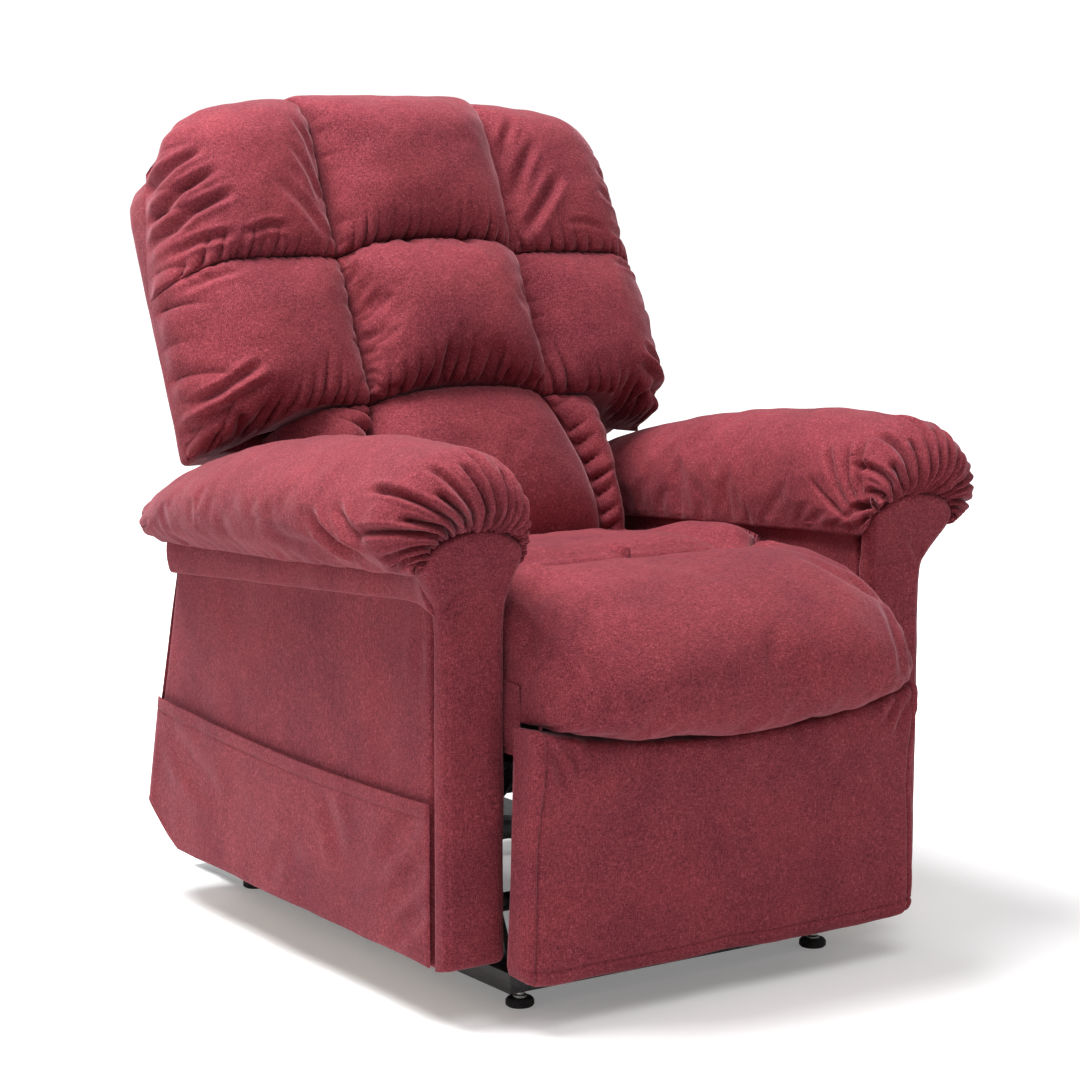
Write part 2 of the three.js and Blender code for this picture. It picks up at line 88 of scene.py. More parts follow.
def spline(pts, n, closed=False):
    """Catmull-Rom through pts, n points evenly spaced by length."""
    p = np.asarray(pts, float)
    if closed:
        q = np.vstack([p[-1], p, p[0], p[1]])
        segs = len(p)
    else:
        q = np.vstack([2 * p[0] - p[1], p, 2 * p[-1] - p[-2]])
        segs = len(p) - 1
    out = []
    for k in range(segs):
        a, b, c, d = q[k], q[k + 1], q[k + 2], q[k + 3]
        t = np.linspace(0, 1, 24, endpoint=False)[:, None]
        out.append(0.5 * ((2 * b) + (-a + c) * t + (2 * a - 5 * b + 4 * c - d) * t * t + (-a + 3 * b - 3 * c + d) * t ** 3))
    out = np.vstack(out + [p[:1] if closed else p[-1:]])
    L = np.r_[0, np.cumsum(np.linalg.norm(np.diff(out, axis=0), axis=1))]
    s = np.linspace(0, L[-1], n + 1)[:-1] if closed else np.linspace(0, L[-1], n)
    return np.stack([np.interp(s, L, out[:, k]) for k in range(out.shape[1])], -1)


def dense(n, k=0.5):
    """-1..1, closer together near the ends."""
    t = np.linspace(-1, 1, n)
    return (1 - k) * t + k * np.sin(t * PI / 2)


# ----------------------------------------------------------------- meshes
def obj_from(name, V, faces):
    me = bpy.data.meshes.new(name)
    me.from_pydata(np.asarray(V, float).tolist(), [], [list(map(int, f)) for f in faces])
    bm = bmesh.new()
    bm.from_mesh(me)
    bmesh.ops.recalc_face_normals(bm, faces=bm.faces)
    bm.to_mesh(me)
    bm.free()
    ob = bpy.data.objects.new(name, me)
    SCN.collection.objects.link(ob)
    me.polygons.foreach_set("use_smooth", [True] * len(me.polygons))
    return ob


def grid_quads(nv, nu, off=0, wrap=False):
    f = []
    for j in range(nv - 1):
        for i in range(nu if wrap else nu - 1):
            a, b = off + j * nu + i, off + j * nu + (i + 1) % nu
            f.append((a, b, b + nu, a + nu))
    return f


def zip_loop(c):
    """Closes a loop with quads across it, so that no vertex or face has many sides."""
    n = len(c)
    f = [(c[i], c[i + 1], c[n - 2 - i], c[n - 1 - i]) for i in range((n - 2) // 2)]
    if n % 2:
        h = n // 2
        f.append((c[h - 1], c[h], c[h + 1]))
    return f


def patch(name, F, rings):
    """A closed body: a front grid F (nv, nu, 3), then rings made from its boundary, the last one closed flat."""
    nv, nu, _ = F.shape
    idx = np.arange(nu * nv).reshape(nv, nu)
    b = list(idx[0, :]) + list(idx[1:, -1]) + list(idx[-1, -2::-1]) + list(idx[-2:0:-1, 0])
    V = [F.reshape(-1, 3)]
    faces = grid_quads(nv, nu)
    B = F.reshape(-1, 3)[b]
    off, prev, nb = nu * nv, b, len(b)
    for r in rings:
        V.append(r(B))
        cur = list(range(off, off + nb))
        for k in range(nb):
            m = (k + 1) % nb
            faces.append((prev[m], prev[k], cur[k], cur[m]))
        prev, off = cur, off + nb
    faces += zip_loop(prev)
    return obj_from(name, np.vstack(V), faces)


def tube(name, L):
    """A closed body from loops L (nl, nu, 3), flat at both ends."""
    nl, nu, _ = L.shape
    faces = grid_quads(nl, nu, wrap=True)
    faces += zip_loop(list(range(nu)))
    faces += zip_loop(list(range((nl - 1) * nu, nl * nu))[::-1])
    return obj_from(name, L.reshape(-1, 3), faces)


def co(ob):
    a = np.zeros(len(ob.data.vertices) * 3)
    ob.data.vertices.foreach_get("co", a)
    return a.reshape(-1, 3)


def set_co(ob, a):
    ob.data.vertices.foreach_set("co", np.asarray(a, float).ravel())
    ob.data.update()


def normals(ob):
    a = np.zeros(len(ob.data.vertices) * 3)
    ob.data.update()
    ob.data.vertex_normals.foreach_get("vector", a)
    return a.reshape(-1, 3)


def remember(ob, **kw):
    for k, v in kw.items():
        at = ob.data.attributes.new("q_" + k, "FLOAT", "POINT")
        at.data.foreach_set("value", np.asarray(v, np.float32).ravel())


def recall(ob, k):
    a = np.zeros(len(ob.data.vertices), np.float32)
    ob.data.attributes["q_" + k].data.foreach_get("value", a)
    return a.astype(float)


def forget(ob):
    for a in [a.name for a in ob.data.attributes if a.name.startswith("q_")]:
        ob.data.attributes.remove(ob.data.attributes[a])


def subdivide(ob, levels=1):
    m = ob.modifiers.new("s", "SUBSURF")
    m.levels = m.render_levels = levels
    m.boundary_smooth = "PRESERVE_CORNERS"
    bake(ob)


def bake(ob):
    dg = bpy.context.evaluated_depsgraph_get()
    me = bpy.data.meshes.new_from_object(ob.evaluated_get(dg), preserve_all_data_layers=True, depsgraph=dg)
    old = ob.data
    ob.modifiers.clear()
    ob.data = me
    me.name = ob.name
    bpy.data.meshes.remove(old)
    me.polygons.foreach_set("use_smooth", [True] * len(me.polygons))


def smooth_verts(ob, mask, times=2, f=0.5):
    """Laplacian smoothing of the masked vertices."""
    me = ob.data
    n = len(me.vertices)
    e = np.zeros(len(me.edges) * 2, np.int64)
    me.edges.foreach_get("vertices", e)
    e = e.reshape(-1, 2)
    P = co(ob)
    deg = np.bincount(e.ravel(), minlength=n)[:, None]
    for _ in range(times):
        s = np.zeros((n, 3))
        np.add.at(s, e[:, 0], P[e[:, 1]])
        np.add.at(s, e[:, 1], P[e[:, 0]])
        P = P + (s / np.maximum(deg, 1) - P) * (f * mask[:, None])
    set_co(ob, P)


SIMS = []


def queue_cloth(ob, pin, pressure=4.0, grow=0.05, cap=0.024, bend=0.6, stiff=12.0):
    SIMS.append((ob, np.asarray(pin, float), pressure, grow, cap, bend, stiff))


def run_cloth(frames=20):
    """Every queued pad swells at once, held at its seams, with a little more cloth than the seam is long, so that it gathers."""
    if not SIMS:
        return
    rest = {}
    for ob, pin, pressure, grow, cap, bend, stiff in SIMS:
        rest[ob.name] = co(ob)
        vg = ob.vertex_groups.new(name="pin")
        for w in np.unique(np.round(pin, 2)):
            if w > 0:
                vg.add([int(i) for i in np.where(np.round(pin, 2) == w)[0]], float(w), "REPLACE")
        m = ob.modifiers.new("c", "CLOTH")
        st = m.settings
        st.quality = 4
        st.mass = 0.25
        st.tension_stiffness = stiff
        st.compression_stiffness = stiff * 0.6
        st.shear_stiffness = stiff * 0.4
        st.bending_stiffness = bend
        st.tension_damping = 8
        st.compression_damping = 8
        st.bending_damping = 1.0
        st.air_damping = 2.0
        st.use_pressure = True
        st.uniform_pressure_force = pressure
        st.effector_weights.gravity = 0.0
        st.vertex_group_mass = "pin"
        st.pin_stiffness = 2.0
        st.shrink_min = -grow
        m.point_cache.frame_start = 1
        m.point_cache.frame_end = frames
    SCN.frame_start, SCN.frame_end = 1, frames
    for f in range(1, frames + 1):
        SCN.frame_set(f)
    dg = bpy.context.evaluated_depsgraph_get()
    for ob, pin, pressure, grow, cap, bend, stiff in SIMS:
        e = ob.evaluated_get(dg)
        a = np.zeros(len(e.data.vertices) * 3)
        e.data.vertices.foreach_get("co", a)
        d = a.reshape(-1, 3) - rest[ob.name]
        d[~np.isfinite(d).all(1)] = 0
        L = np.linalg.norm(d, axis=1, keepdims=True)
        lim = cap * np.tanh(L / cap)
        d = d * (lim / np.maximum(L, 1e-9))
        print("cloth", ob.name, len(d), "mean mm %.1f max %.1f" % (L.mean() * 1000, L.max() * 1000))
        ob.modifiers.clear()
        ob.vertex_groups.clear()
        set_co(ob, rest[ob.name] + d)
    SCN.frame_set(1)


def pleats(along, dist, wave, length, amp, seed, skew=0.0, sharp=1.6, jitter=0.45):
    """Shirring: narrow sharp valleys between soft ridges, deepest near the seam, each fold its own length and depth."""
    a = along + skew * dist
    a = a + wave * jitter * noise1(a, wave * 2.1, seed) + wave * 0.25 * noise1(a + 5, wave * 0.9, seed + 1)
    t = a / wave
    k = np.floor(t)
    f = t - k
    v = np.abs(np.sin(PI * f)) ** (1 / sharp)
    r1, r2 = rnd(k, seed + 2), rnd(k + 1, seed + 2)
    depth = (1 - f) * (0.35 + 0.9 * r1) + f * (0.35 + 0.9 * r2)
    q1, q2 = rnd(k, seed + 3), rnd(k + 1, seed + 3)
    ln = length * ((1 - f) * (0.4 + 0.9 * q1) + f * (0.4 + 0.9 * q2))
    env = np.clip(1 - dist / np.maximum(ln, 1e-4), 0, 1)
    env = env * env * (3 - 2 * env) * sst(-0.002, 0.004, dist)
    return amp * depth * env * (v - 0.62)


def crease(P, pts, width, depth, lip=0.35, ends=0.35):
    """A fold along a polyline: a valley with a small raised lip each side. P and pts share any dimension."""
    P = np.asarray(P, float)
    pts = np.asarray(pts, float)
    seg = np.linalg.norm(np.diff(pts, axis=0), axis=1)
    tot = seg.sum()
    best = np.full(len(P), 1e9)
    at = np.zeros(len(P))
    run = 0.0
    for k in range(len(pts) - 1):
        a, b = pts[k], pts[k + 1]
        d = b - a
        t = np.clip(((P - a) @ d) / (d @ d), 0, 1)
        dd = np.linalg.norm(P - (a + t[:, None] * d), axis=1)
        m = dd < best
        best[m] = dd[m]
        at[m] = (run + t[m] * seg[k]) / tot
        run += seg[k]
    e = np.clip(at / max(ends, 1e-6), 0, 1) * np.clip((1 - at) / max(ends, 1e-6), 0, 1)
    e = e * e * (3 - 2 * e)
    x = best / width
    return depth * e * (-np.exp(-x * x) + lip * np.exp(-((x - 1.9) ** 2) * 1.6))


def push(ob, d):
    set_co(ob, co(ob) + normals(ob) * np.asarray(d)[:, None])


# ----------------------------------------------------------------- materials
def nodes_of(name):
    m = bpy.data.materials.new(name)
    m.use_nodes = True
    nt = m.node_tree
    nt.nodes.clear()
    out = nt.nodes.new("ShaderNodeOutputMaterial")
    bs = nt.nodes.new("ShaderNodeBsdfPrincipled")
    nt.links.new(bs.outputs[0], out.inputs[0])
    return m, nt, bs


def N(nt, kind, **kw):
    n = nt.nodes.new(kind)
    for k, v in kw.items():
        if k.startswith("i_"):
            n.inputs[k[2:].replace("_", " ")].default_value = v
        else:
            setattr(n, k, v)
    return n


def ramp(nt, src, stops):
    r = nt.nodes.new("ShaderNodeValToRGB")
    e = r.color_ramp.elements
    while len(e) < len(stops):
        e.new(0.5)
    for k, (p, c) in enumerate(stops):
        e[k].position = p
        e[k].color = (*c, 1) if len(c) == 3 else c
    nt.links.new(src, r.inputs[0])
    return r.outputs[0]


def grey(v):
    return (v, v, v)


def mix(nt, mode, fac, a, b):
    m = nt.nodes.new("ShaderNodeMix")
    m.data_type = "RGBA"
    m.blend_type = mode
    if isinstance(fac, (int, float)):
        m.inputs[0].default_value = fac
    else:
        nt.links.new(fac, m.inputs[0])
    for s, x in ((6, a), (7, b)):
        if isinstance(x, tuple):
            m.inputs[s].default_value = (*x, 1)
        else:
            nt.links.new(x, m.inputs[s])
    return m.outputs[2]


def math_(nt, op, a, b=0.0):
    m = nt.nodes.new("ShaderNodeMath")
    m.operation = op
    for k, x in ((0, a), (1, b)):
        if isinstance(x, (int, float)):
            m.inputs[k].default_value = x
        else:
            nt.links.new(x, m.inputs[k])
    return m.outputs[0]


def tex(nt, scale, detail=2.0, rough=0.5, vec=(1, 1, 1), seed=0.0):
    tc = nt.nodes.new("ShaderNodeTexCoord")
    mp = nt.nodes.new("ShaderNodeMapping")
    mp.inputs["Scale"].default_value = vec
    mp.inputs["Location"].default_value = (seed * 1.7, seed * 0.9, seed * 2.3)
    n = nt.nodes.new("ShaderNodeTexNoise")
    n.inputs["Scale"].default_value = scale
    n.inputs["Detail"].default_value = detail
    n.inputs["Roughness"].default_value = rough
    nt.links.new(tc.outputs["Object"], mp.inputs[0])
    nt.links.new(mp.outputs[0], n.inputs[0])
    return n.outputs[0]


def fabric(name, base=(0.206, 0.0295, 0.0402), seed=0.0, wear_and_crease_shade=1.0):
    """Heathered velour: mixed dark and light yarns, a short woven grain, brushed patches, pile that catches light at
    the edges, painted shade in creases and hollows, and ridges made lighter, partly as worn pile and partly as painted
    highlight.
    """
    m, nt, bs = nodes_of(name)
    L = nt.links.new
    fleck = tex(nt, 850, 2.0, 0.65, seed=seed)
    warp = tex(nt, 650, 1.0, 0.5, (1, 1, 0.30), seed + 3)
    weft = tex(nt, 650, 1.0, 0.5, (0.30, 0.4, 1), seed + 5)
    blot = tex(nt, 60, 3.0, 0.6, seed=seed + 7)
    brush = tex(nt, 9, 3.0, 0.55, seed=seed + 9)
    yarn = math_(nt, "ADD", math_(nt, "MULTIPLY", fleck, 0.5), math_(nt, "ADD", math_(nt, "MULTIPLY", warp, 0.27), math_(nt, "MULTIPLY", weft, 0.23)))
    b = np.array(base)
    dark = tuple(b * np.array([0.40, 0.42, 0.62]))
    lite = tuple(np.clip(b * 1.55 + np.array([0.03, 0.035, 0.04]), 0, 1))
    col = ramp(nt, yarn, [(0.36, dark), (0.47, tuple(b * 0.86)), (0.53, tuple(b * 1.08)), (0.66, lite)])
    col = mix(nt, "MULTIPLY", 0.32, col, ramp(nt, blot, [(0.3, grey(0.72)), (0.7, grey(1.12))]))
    col = mix(nt, "MULTIPLY", 0.75, col, ramp(nt, brush, [(0.33, (0.80, 0.76, 0.84)), (0.5, grey(1.0)), (0.68, (1.15, 1.12, 1.08))]))
    # painted shade: pointiness darkens creases and hollows and lightens ridges, partly as worn pile and partly as
    # painted highlight; the strength argument scales it
    geo = nt.nodes.new("ShaderNodeNewGeometry")
    point = geo.outputs["Pointiness"]
    col = mix(nt, "MULTIPLY", 0.9 * wear_and_crease_shade, col, ramp(nt, point, [(0.40, grey(0.38)), (0.49, grey(0.96)), (0.52, grey(1.0)), (0.60, (1.10, 1.06, 1.06))]))
    L(col, bs.inputs["Base Color"])
    L(ramp(nt, yarn, [(0.35, grey(0.97)), (0.65, grey(0.80))]), bs.inputs["Roughness"])
    bs.inputs["Specular IOR Level"].default_value = 0.18
    bs.inputs["Sheen Weight"].default_value = 0.34
    bs.inputs["Sheen Roughness"].default_value = 0.33
    bs.inputs["Sheen Tint"].default_value = (1.0, 0.55, 0.62, 1)
    bump1 = N(nt, "ShaderNodeBump", i_Strength=0.55, i_Distance=0.0011)
    L(yarn, bump1.inputs["Height"])
    bump2 = N(nt, "ShaderNodeBump", i_Strength=0.18, i_Distance=0.003)
    L(blot, bump2.inputs["Height"])
    L(bump2.outputs[0], bump1.inputs["Normal"])
    L(bump1.outputs[0], bs.inputs["Normal"])
    return m


def metal(name, base, rough, metallic, seed=0.0, brushed=(1, 1, 1), wear_and_crease_shade=(0.5, 0.5, 0.5), coat=0.0, grain=900, bumpd=0.0002):
    """Painted or plated metal: fine grain, handling marks, paint worn at the edges."""
    m, nt, bs = nodes_of(name)
    L = nt.links.new
    fine = tex(nt, grain, 2, 0.6, brushed, seed)
    big = tex(nt, 14, 4, 0.6, seed=seed + 2)
    scr = tex(nt, 120, 3, 0.7, (1, 0.12, 1), seed + 4)
    b = np.array(base)
    col = ramp(nt, fine, [(0.3, tuple(b * 0.85)), (0.7, tuple(b * 1.15))])
    col = mix(nt, "MULTIPLY", 0.6, col, ramp(nt, big, [(0.3, grey(0.75)), (0.7, grey(1.1))]))
    geo = nt.nodes.new("ShaderNodeNewGeometry")
    edge = ramp(nt, geo.outputs["Pointiness"], [(0.53, grey(0)), (0.62, grey(1))])
    e = math_(nt, "MULTIPLY", edge, ramp(nt, scr, [(0.45, grey(0)), (0.6, grey(1))]))
    col = mix(nt, "MIX", math_(nt, "MULTIPLY", e, 0.6), col, wear_and_crease_shade)
    L(col, bs.inputs["Base Color"])
    bs.inputs["Metallic"].default_value = metallic
    r = ramp(nt, scr, [(0.3, grey(max(rough - 0.10, 0.05))), (0.7, grey(min(rough + 0.10, 1)))])
    L(r, bs.inputs["Roughness"])
    bs.inputs["Coat Weight"].default_value = coat
    bu = N(nt, "ShaderNodeBump", i_Strength=0.4, i_Distance=bumpd)
    L(fine, bu.inputs["Height"])
    bev = nt.nodes.new("ShaderNodeBevel")
    bev.samples = 4
    bev.inputs["Radius"].default_value = 0.0012
    L(bev.outputs[0], bu.inputs["Normal"])
    L(bu.outputs[0], bs.inputs["Normal"])
    return m


def wood(name):
    m, nt, bs = nodes_of(name)
    L = nt.links.new
    g = tex(nt, 55, 6, 0.65, (0.05, 1, 1), 2.0)
    ply = tex(nt, 7, 3, 0.6, (0.3, 1, 1), 6.0)
    col = ramp(nt, g, [(0.3, (0.30, 0.17, 0.08)), (0.5, (0.47, 0.30, 0.15)), (0.7, (0.58, 0.40, 0.22))])
    col = mix(nt, "MULTIPLY", 0.5, col, ramp(nt, ply, [(0.35, grey(0.7)), (0.65, grey(1.1))]))
    L(col, bs.inputs["Base Color"])
    L(ramp(nt, g, [(0.3, grey(0.75)), (0.7, grey(0.6))]), bs.inputs["Roughness"])
    bu = N(nt, "ShaderNodeBump", i_Strength=0.4, i_Distance=0.0006)
    L(g, bu.inputs["Height"])
    L(bu.outputs[0], bs.inputs["Normal"])
    return m


FAB = fabric("wine_velour", seed=1.0)
FAB2 = fabric("wine_velour_flat", seed=4.0, wear_and_crease_shade=0.7)
# painted shade: black material for the sheet at the rear of the chassis that darkens the view under the seat
SHADE_BLACK = metal("black_painted_shade", (0.012, 0.012, 0.013), 0.95, 0.0, 3.0, grain=500, bumpd=0.0008, wear_and_crease_shade=(0.02, 0.02, 0.02))
STEEL = metal("black_powder_coat", (0.017, 0.017, 0.018), 0.42, 0.0, 1.0, wear_and_crease_shade=(0.10, 0.10, 0.10), coat=0.15, grain=1400, bumpd=0.0003)
ZINC = metal("bright_zinc", (0.62, 0.62, 0.60), 0.26, 1.0, 2.0, (1, 1, 0.1), wear_and_crease_shade=(0.8, 0.8, 0.8))
SPRING = metal("spring_wire", (0.30, 0.29, 0.27), 0.35, 1.0, 5.0, wear_and_crease_shade=(0.5, 0.45, 0.4))
RUBBER = metal("black_rubber", (0.012, 0.012, 0.012), 0.78, 0.0, 6.0, wear_and_crease_shade=(0.05, 0.05, 0.05), grain=700, bumpd=0.0004)
PLASTIC = metal("black_moulded_plastic", (0.018, 0.018, 0.020), 0.48, 0.0, 7.0, wear_and_crease_shade=(0.06, 0.06, 0.06), grain=1100, bumpd=0.0004)
KEYS = metal("key_plastic", (0.42, 0.43, 0.45), 0.42, 0.0, 8.0, wear_and_crease_shade=(0.6, 0.6, 0.6), grain=1500, bumpd=0.0002)
WOOD = wood("frame_ply")
CORD = metal("cord_rubber", (0.014, 0.014, 0.015), 0.6, 0.0, 9.0, wear_and_crease_shade=(0.05, 0.05, 0.05), grain=900, bumpd=0.0003)

SLOT_MAT = {"black_steel": STEEL, "bright_steel": ZINC, "spring_steel": SPRING, "black_rubber": RUBBER, "frame_wood": WOOD,
            "black_plastic": PLASTIC, "key_plastic": KEYS, "wine_fabric": FAB}
node_slot = {}
for m in frame["record"].get("materials", []):
    for n in m.get("nodes", []) or m.get("subparts", []) or []:
        node_slot[n] = m.get("slot")
for sp in frame["record"].get("subparts", []):
    for k in ("material_slot", "slot", "material"):
        if sp.get(k):
            node_slot.setdefault(sp["node"], sp[k])


def guess_slot(n):
    if n in node_slot and node_slot[n] in SLOT_MAT:
        return node_slot[n]
    if n.startswith("glide_pad"):
        return "black_rubber"
    if n.startswith("glide_stem") or n.endswith("_ram"):
        return "bright_steel"
    if n == "seat_springs":
        return "spring_steel"
    if n in ("seat_box", "back_frame", "footrest_board") or n.startswith("arm_frame"):
        return "frame_wood"
    if n in ("power_supply", "hand_control") or n.endswith("_actuator"):
        return "black_plastic"
    if n.startswith("key_"):
        return "key_plastic"
    if n in ("seat_cushion", "footrest_pad", "back_shell") or n.startswith(("back_pad", "arm_pad", "arm_side", "arm_inner", "arm_front", "side_pocket")):
        return "wine_fabric"
    return "black_steel"


for n, o in NODES.items():
    s = guess_slot(n)
    o.data.materials.clear()
    o.data.materials.append(SLOT_MAT[s])
    if n == "arm_frame_left" or n == "arm_frame_right":
        o.data.materials[0] = WOOD


def finish_piece(ob, body, replaces=(), mat=FAB):
    forget(ob)
    ob.data.set_sharp_from_angle(angle=math.radians(58))
    ob.data.materials.clear()
    ob.data.materials.append(mat)
    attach(ob, body)
    if replaces:
        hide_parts(*replaces)
    return ob


# ----------------------------------------------------------------- back
SA, CA = math.sin(math.radians(23.7)), math.cos(math.radians(23.7))


def back_xyz(x, s, n):
    return np.stack([x + 0 * s, 0.165 + s * SA - n * CA, 0.285 + s * CA + n * SA], -1)


def back_loc(P):
    y, z = P[..., 1] - 0.165, P[..., 2] - 0.285
    return P[..., 0], y * SA + z * CA, -y * CA + z * SA


def R1(x):
    a = np.abs(x)
    return np.where(a < 0.138, 0.368 + 0.016 * (1 - (a / 0.138) ** 2), interp(a, [0.138, 0.21, 0.25, 0.29, 0.336, 0.40], [0.368, 0.3685, 0.363, 0.355, 0.344, 0.336]))


def R2(x):
    a = np.abs(x)
    return np.where(a < 0.138, 0.579 + 0.018 * (1 - (a / 0.138) ** 2), interp(a, [0.138, 0.22, 0.30, 0.356, 0.40], [0.579, 0.580, 0.577, 0.567, 0.556]))


def R3(x):
    a = np.abs(x)
    return interp(a, [0, 0.14, 0.20, 0.24, 0.28, 0.31, 0.335, 0.355, 0.372, 0.385, 0.40], [0.846, 0.845, 0.841, 0.835, 0.825, 0.811, 0.793, 0.772, 0.744, 0.71, 0.66])


def ellip(d, r):
    t = np.clip(1 - d / r, 0, 1)
    return 1 - np.sqrt(np.clip(1 - t * t, 0, 1))


def back_pad(name, node, xl, xr, slo, shi, crown, e, nu=76, nv=62, over=0.010, dome=0.012, seed=0, sg=1, shi_u=None):
    """e = dict(l,r,b,t) of (radius, drop) at each edge; a big drop is an outer edge that rounds down to the shell."""
    U, V = np.meshgrid(dense(nu, 0.55), dense(nv, 0.55))
    s0 = np.array([slo(np.array(0.5 * (xl(0.3) + xr(0.3))))]).ravel()[0]
    s1 = np.array([shi(np.array(0.5 * (xl(0.3) + xr(0.3))))]).ravel()[0]
    sn = s0 + (s1 - s0) * (V + 1) / 2
    x = xl(sn) + (xr(sn) - xl(sn)) * (U + 1) / 2
    lo, hi = slo(x), shi(x)
    s = lo + (hi - lo) * (V + 1) / 2
    d = {"l": x - xl(sn), "r": xr(sn) - x, "b": s - lo, "t": hi - s}
    k = 1.7
    tot = 0
    for key in "lrbt":
        r, drop = e[key]
        if key == "b" and name.startswith("back_pillow_middle_") and "centre" not in name:
            drop = drop + 0.10 * sst(0.245, 0.300, x)
        tot = tot + (drop * ellip(d[key], r)) ** k
    tot = tot ** (1 / k)
    c = crown + dome * (1 - U ** 2) * (1 - (V + 0.15) ** 2)
    n = np.maximum(c - tot, 0.054)
    hf = np.clip((n - 0.165) / (crown - 0.165), 0, 1)
    s = s - over * hf * (1 - sst(0, 0.10, d["b"])) + over * 0.25 * hf * (1 - sst(0, 0.05, d["t"]))
    F = back_xyz(sg * x, s, n)
    # the stuffing is pulled in toward the shell behind its widest line
    def pull(Q):
        X_, S_, N_ = back_loc(Q)
        w_ = 1 - sst(0.050, 0.130, N_)
        X_ = X_ - np.sign(X_) * 0.024 * w_ * sst(0.26, 0.36, np.abs(X_)) * (0.35 + 0.65 * sst(0.60, 0.80, S_))
        S_ = S_ - 0.018 * w_ * sst(0.70, 0.80, S_) * sst(0.20, 0.34, np.abs(X_))
        return back_xyz(X_, S_, N_)
    nn = lambda B, v: back_xyz(*(lambda q: (q[0], q[1], np.minimum(q[2], v)))(back_loc(B)))
    F = pull(F)
    ob = patch(name, F, [lambda B: nn(B, 0.13), lambda B: nn(B, 0.09), lambda B: nn(B, 0.0525)])
    P = co(ob)
    X, S, Nn = back_loc(P)
    m = nu * nv
    rim = np.zeros(len(P))
    rim[m:] = 1
    dd = {q: np.r_[d[q].ravel(), np.zeros(len(P) - m)] for q in "lrbt"}
    dmin = np.minimum.reduce([dd[q] + (0 if e[q][1] < 0.1 else 1) for q in "lrbt"])
    rim[:m] = np.maximum(rim[:m], (dmin[:m] < 1e-5) * 1.0)
    rim[:m] = np.maximum(rim[:m], ((Nn[:m] < 0.058)) * 1.0)
    remember(ob, x=sg * X, s=S, n=Nn, l=dd["l"], r=dd["r"], b=dd["b"], t=dd["t"], f=np.r_[np.ones(m), np.zeros(len(P) - m)])
    queue_cloth(ob, rim, pressure=4.0, grow=0.06, cap=0.020)
    ob["cad"] = node
    return ob


SEAM = (0.085, 0.052)
con = lambda v: (lambda s: v + 0 * np.asarray(s, float))
PADS = {}
XC_bot = lambda s: interp(s, [0.10, 0.16, 0.22, 0.27, 0.32, 0.37, 0.4], [0.186, 0.184, 0.180, 0.172, 0.158, 0.139, 0.138])
BOT = lambda x: 0.128 + 0 * np.asarray(x, float)
PADS["bc"] = back_pad("back_pillow_bottom_centre", "back_pad_bottom_center", lambda s: -XC_bot(s), XC_bot, BOT, R1, 0.212,
                      dict(l=(0.10, 0.056), r=(0.10, 0.056), b=(0.12, 0.10), t=(0.075, 0.045)), over=0.0, seed=1)
PADS["mc"] = back_pad("back_pillow_middle_centre", "back_pad_middle_center", con(-0.138), con(0.138), R1, R2, 0.222,
                      dict(l=(0.09, 0.056), r=(0.09, 0.056), b=(0.075, 0.056), t=(0.075, 0.048)), seed=2)
PADS["tc"] = back_pad("back_pillow_top_centre", "back_pad_top_center", con(-0.138), con(0.138), R2, R3, 0.222,
                      dict(l=(0.09, 0.056), r=(0.09, 0.056), b=(0.08, 0.056), t=(0.115, 0.160)), seed=3)
for sg, tag in ((1, "left"), (-1, "right")):
    XO = lambda s: interp(s, [0.33, 0.37, 0.42, 0.50, 0.58, 0.66, 0.74, 0.84], [0.370, 0.378, 0.386, 0.388, 0.384, 0.376, 0.369, 0.362])
    PADS["ms" + tag] = back_pad("back_pillow_middle_" + tag, "back_pad_middle_" + tag, con(0.1375), XO, R1, R2, 0.196,
                                dict(l=(0.085, 0.040), r=(0.115, 0.138), b=(0.07, 0.040), t=(0.07, 0.032)), sg=sg, seed=4, nu=72)
    PADS["ts" + tag] = back_pad("back_pillow_top_" + tag, "back_pad_top_" + tag, con(0.1375), XO, R2, R3, 0.192,
                                dict(l=(0.085, 0.040), r=(0.115, 0.138), b=(0.07, 0.032), t=(0.105, 0.135)), sg=sg, seed=5, nu=72)
    PADS["bs" + tag] = back_pad("back_pillow_bottom_" + tag, "back_pad_bottom_" + tag, lambda s: XC_bot(s) + 0.0005, lambda s: interp(s, [0.1, 0.36], [0.250, 0.2535]), BOT,
                                lambda x: R1(x) - 0.002, 0.186, dict(l=(0.05, 0.028), r=(0.07, 0.125), b=(0.10, 0.08), t=(0.06, 0.026)), sg=sg, seed=6, nu=44, over=0.0)

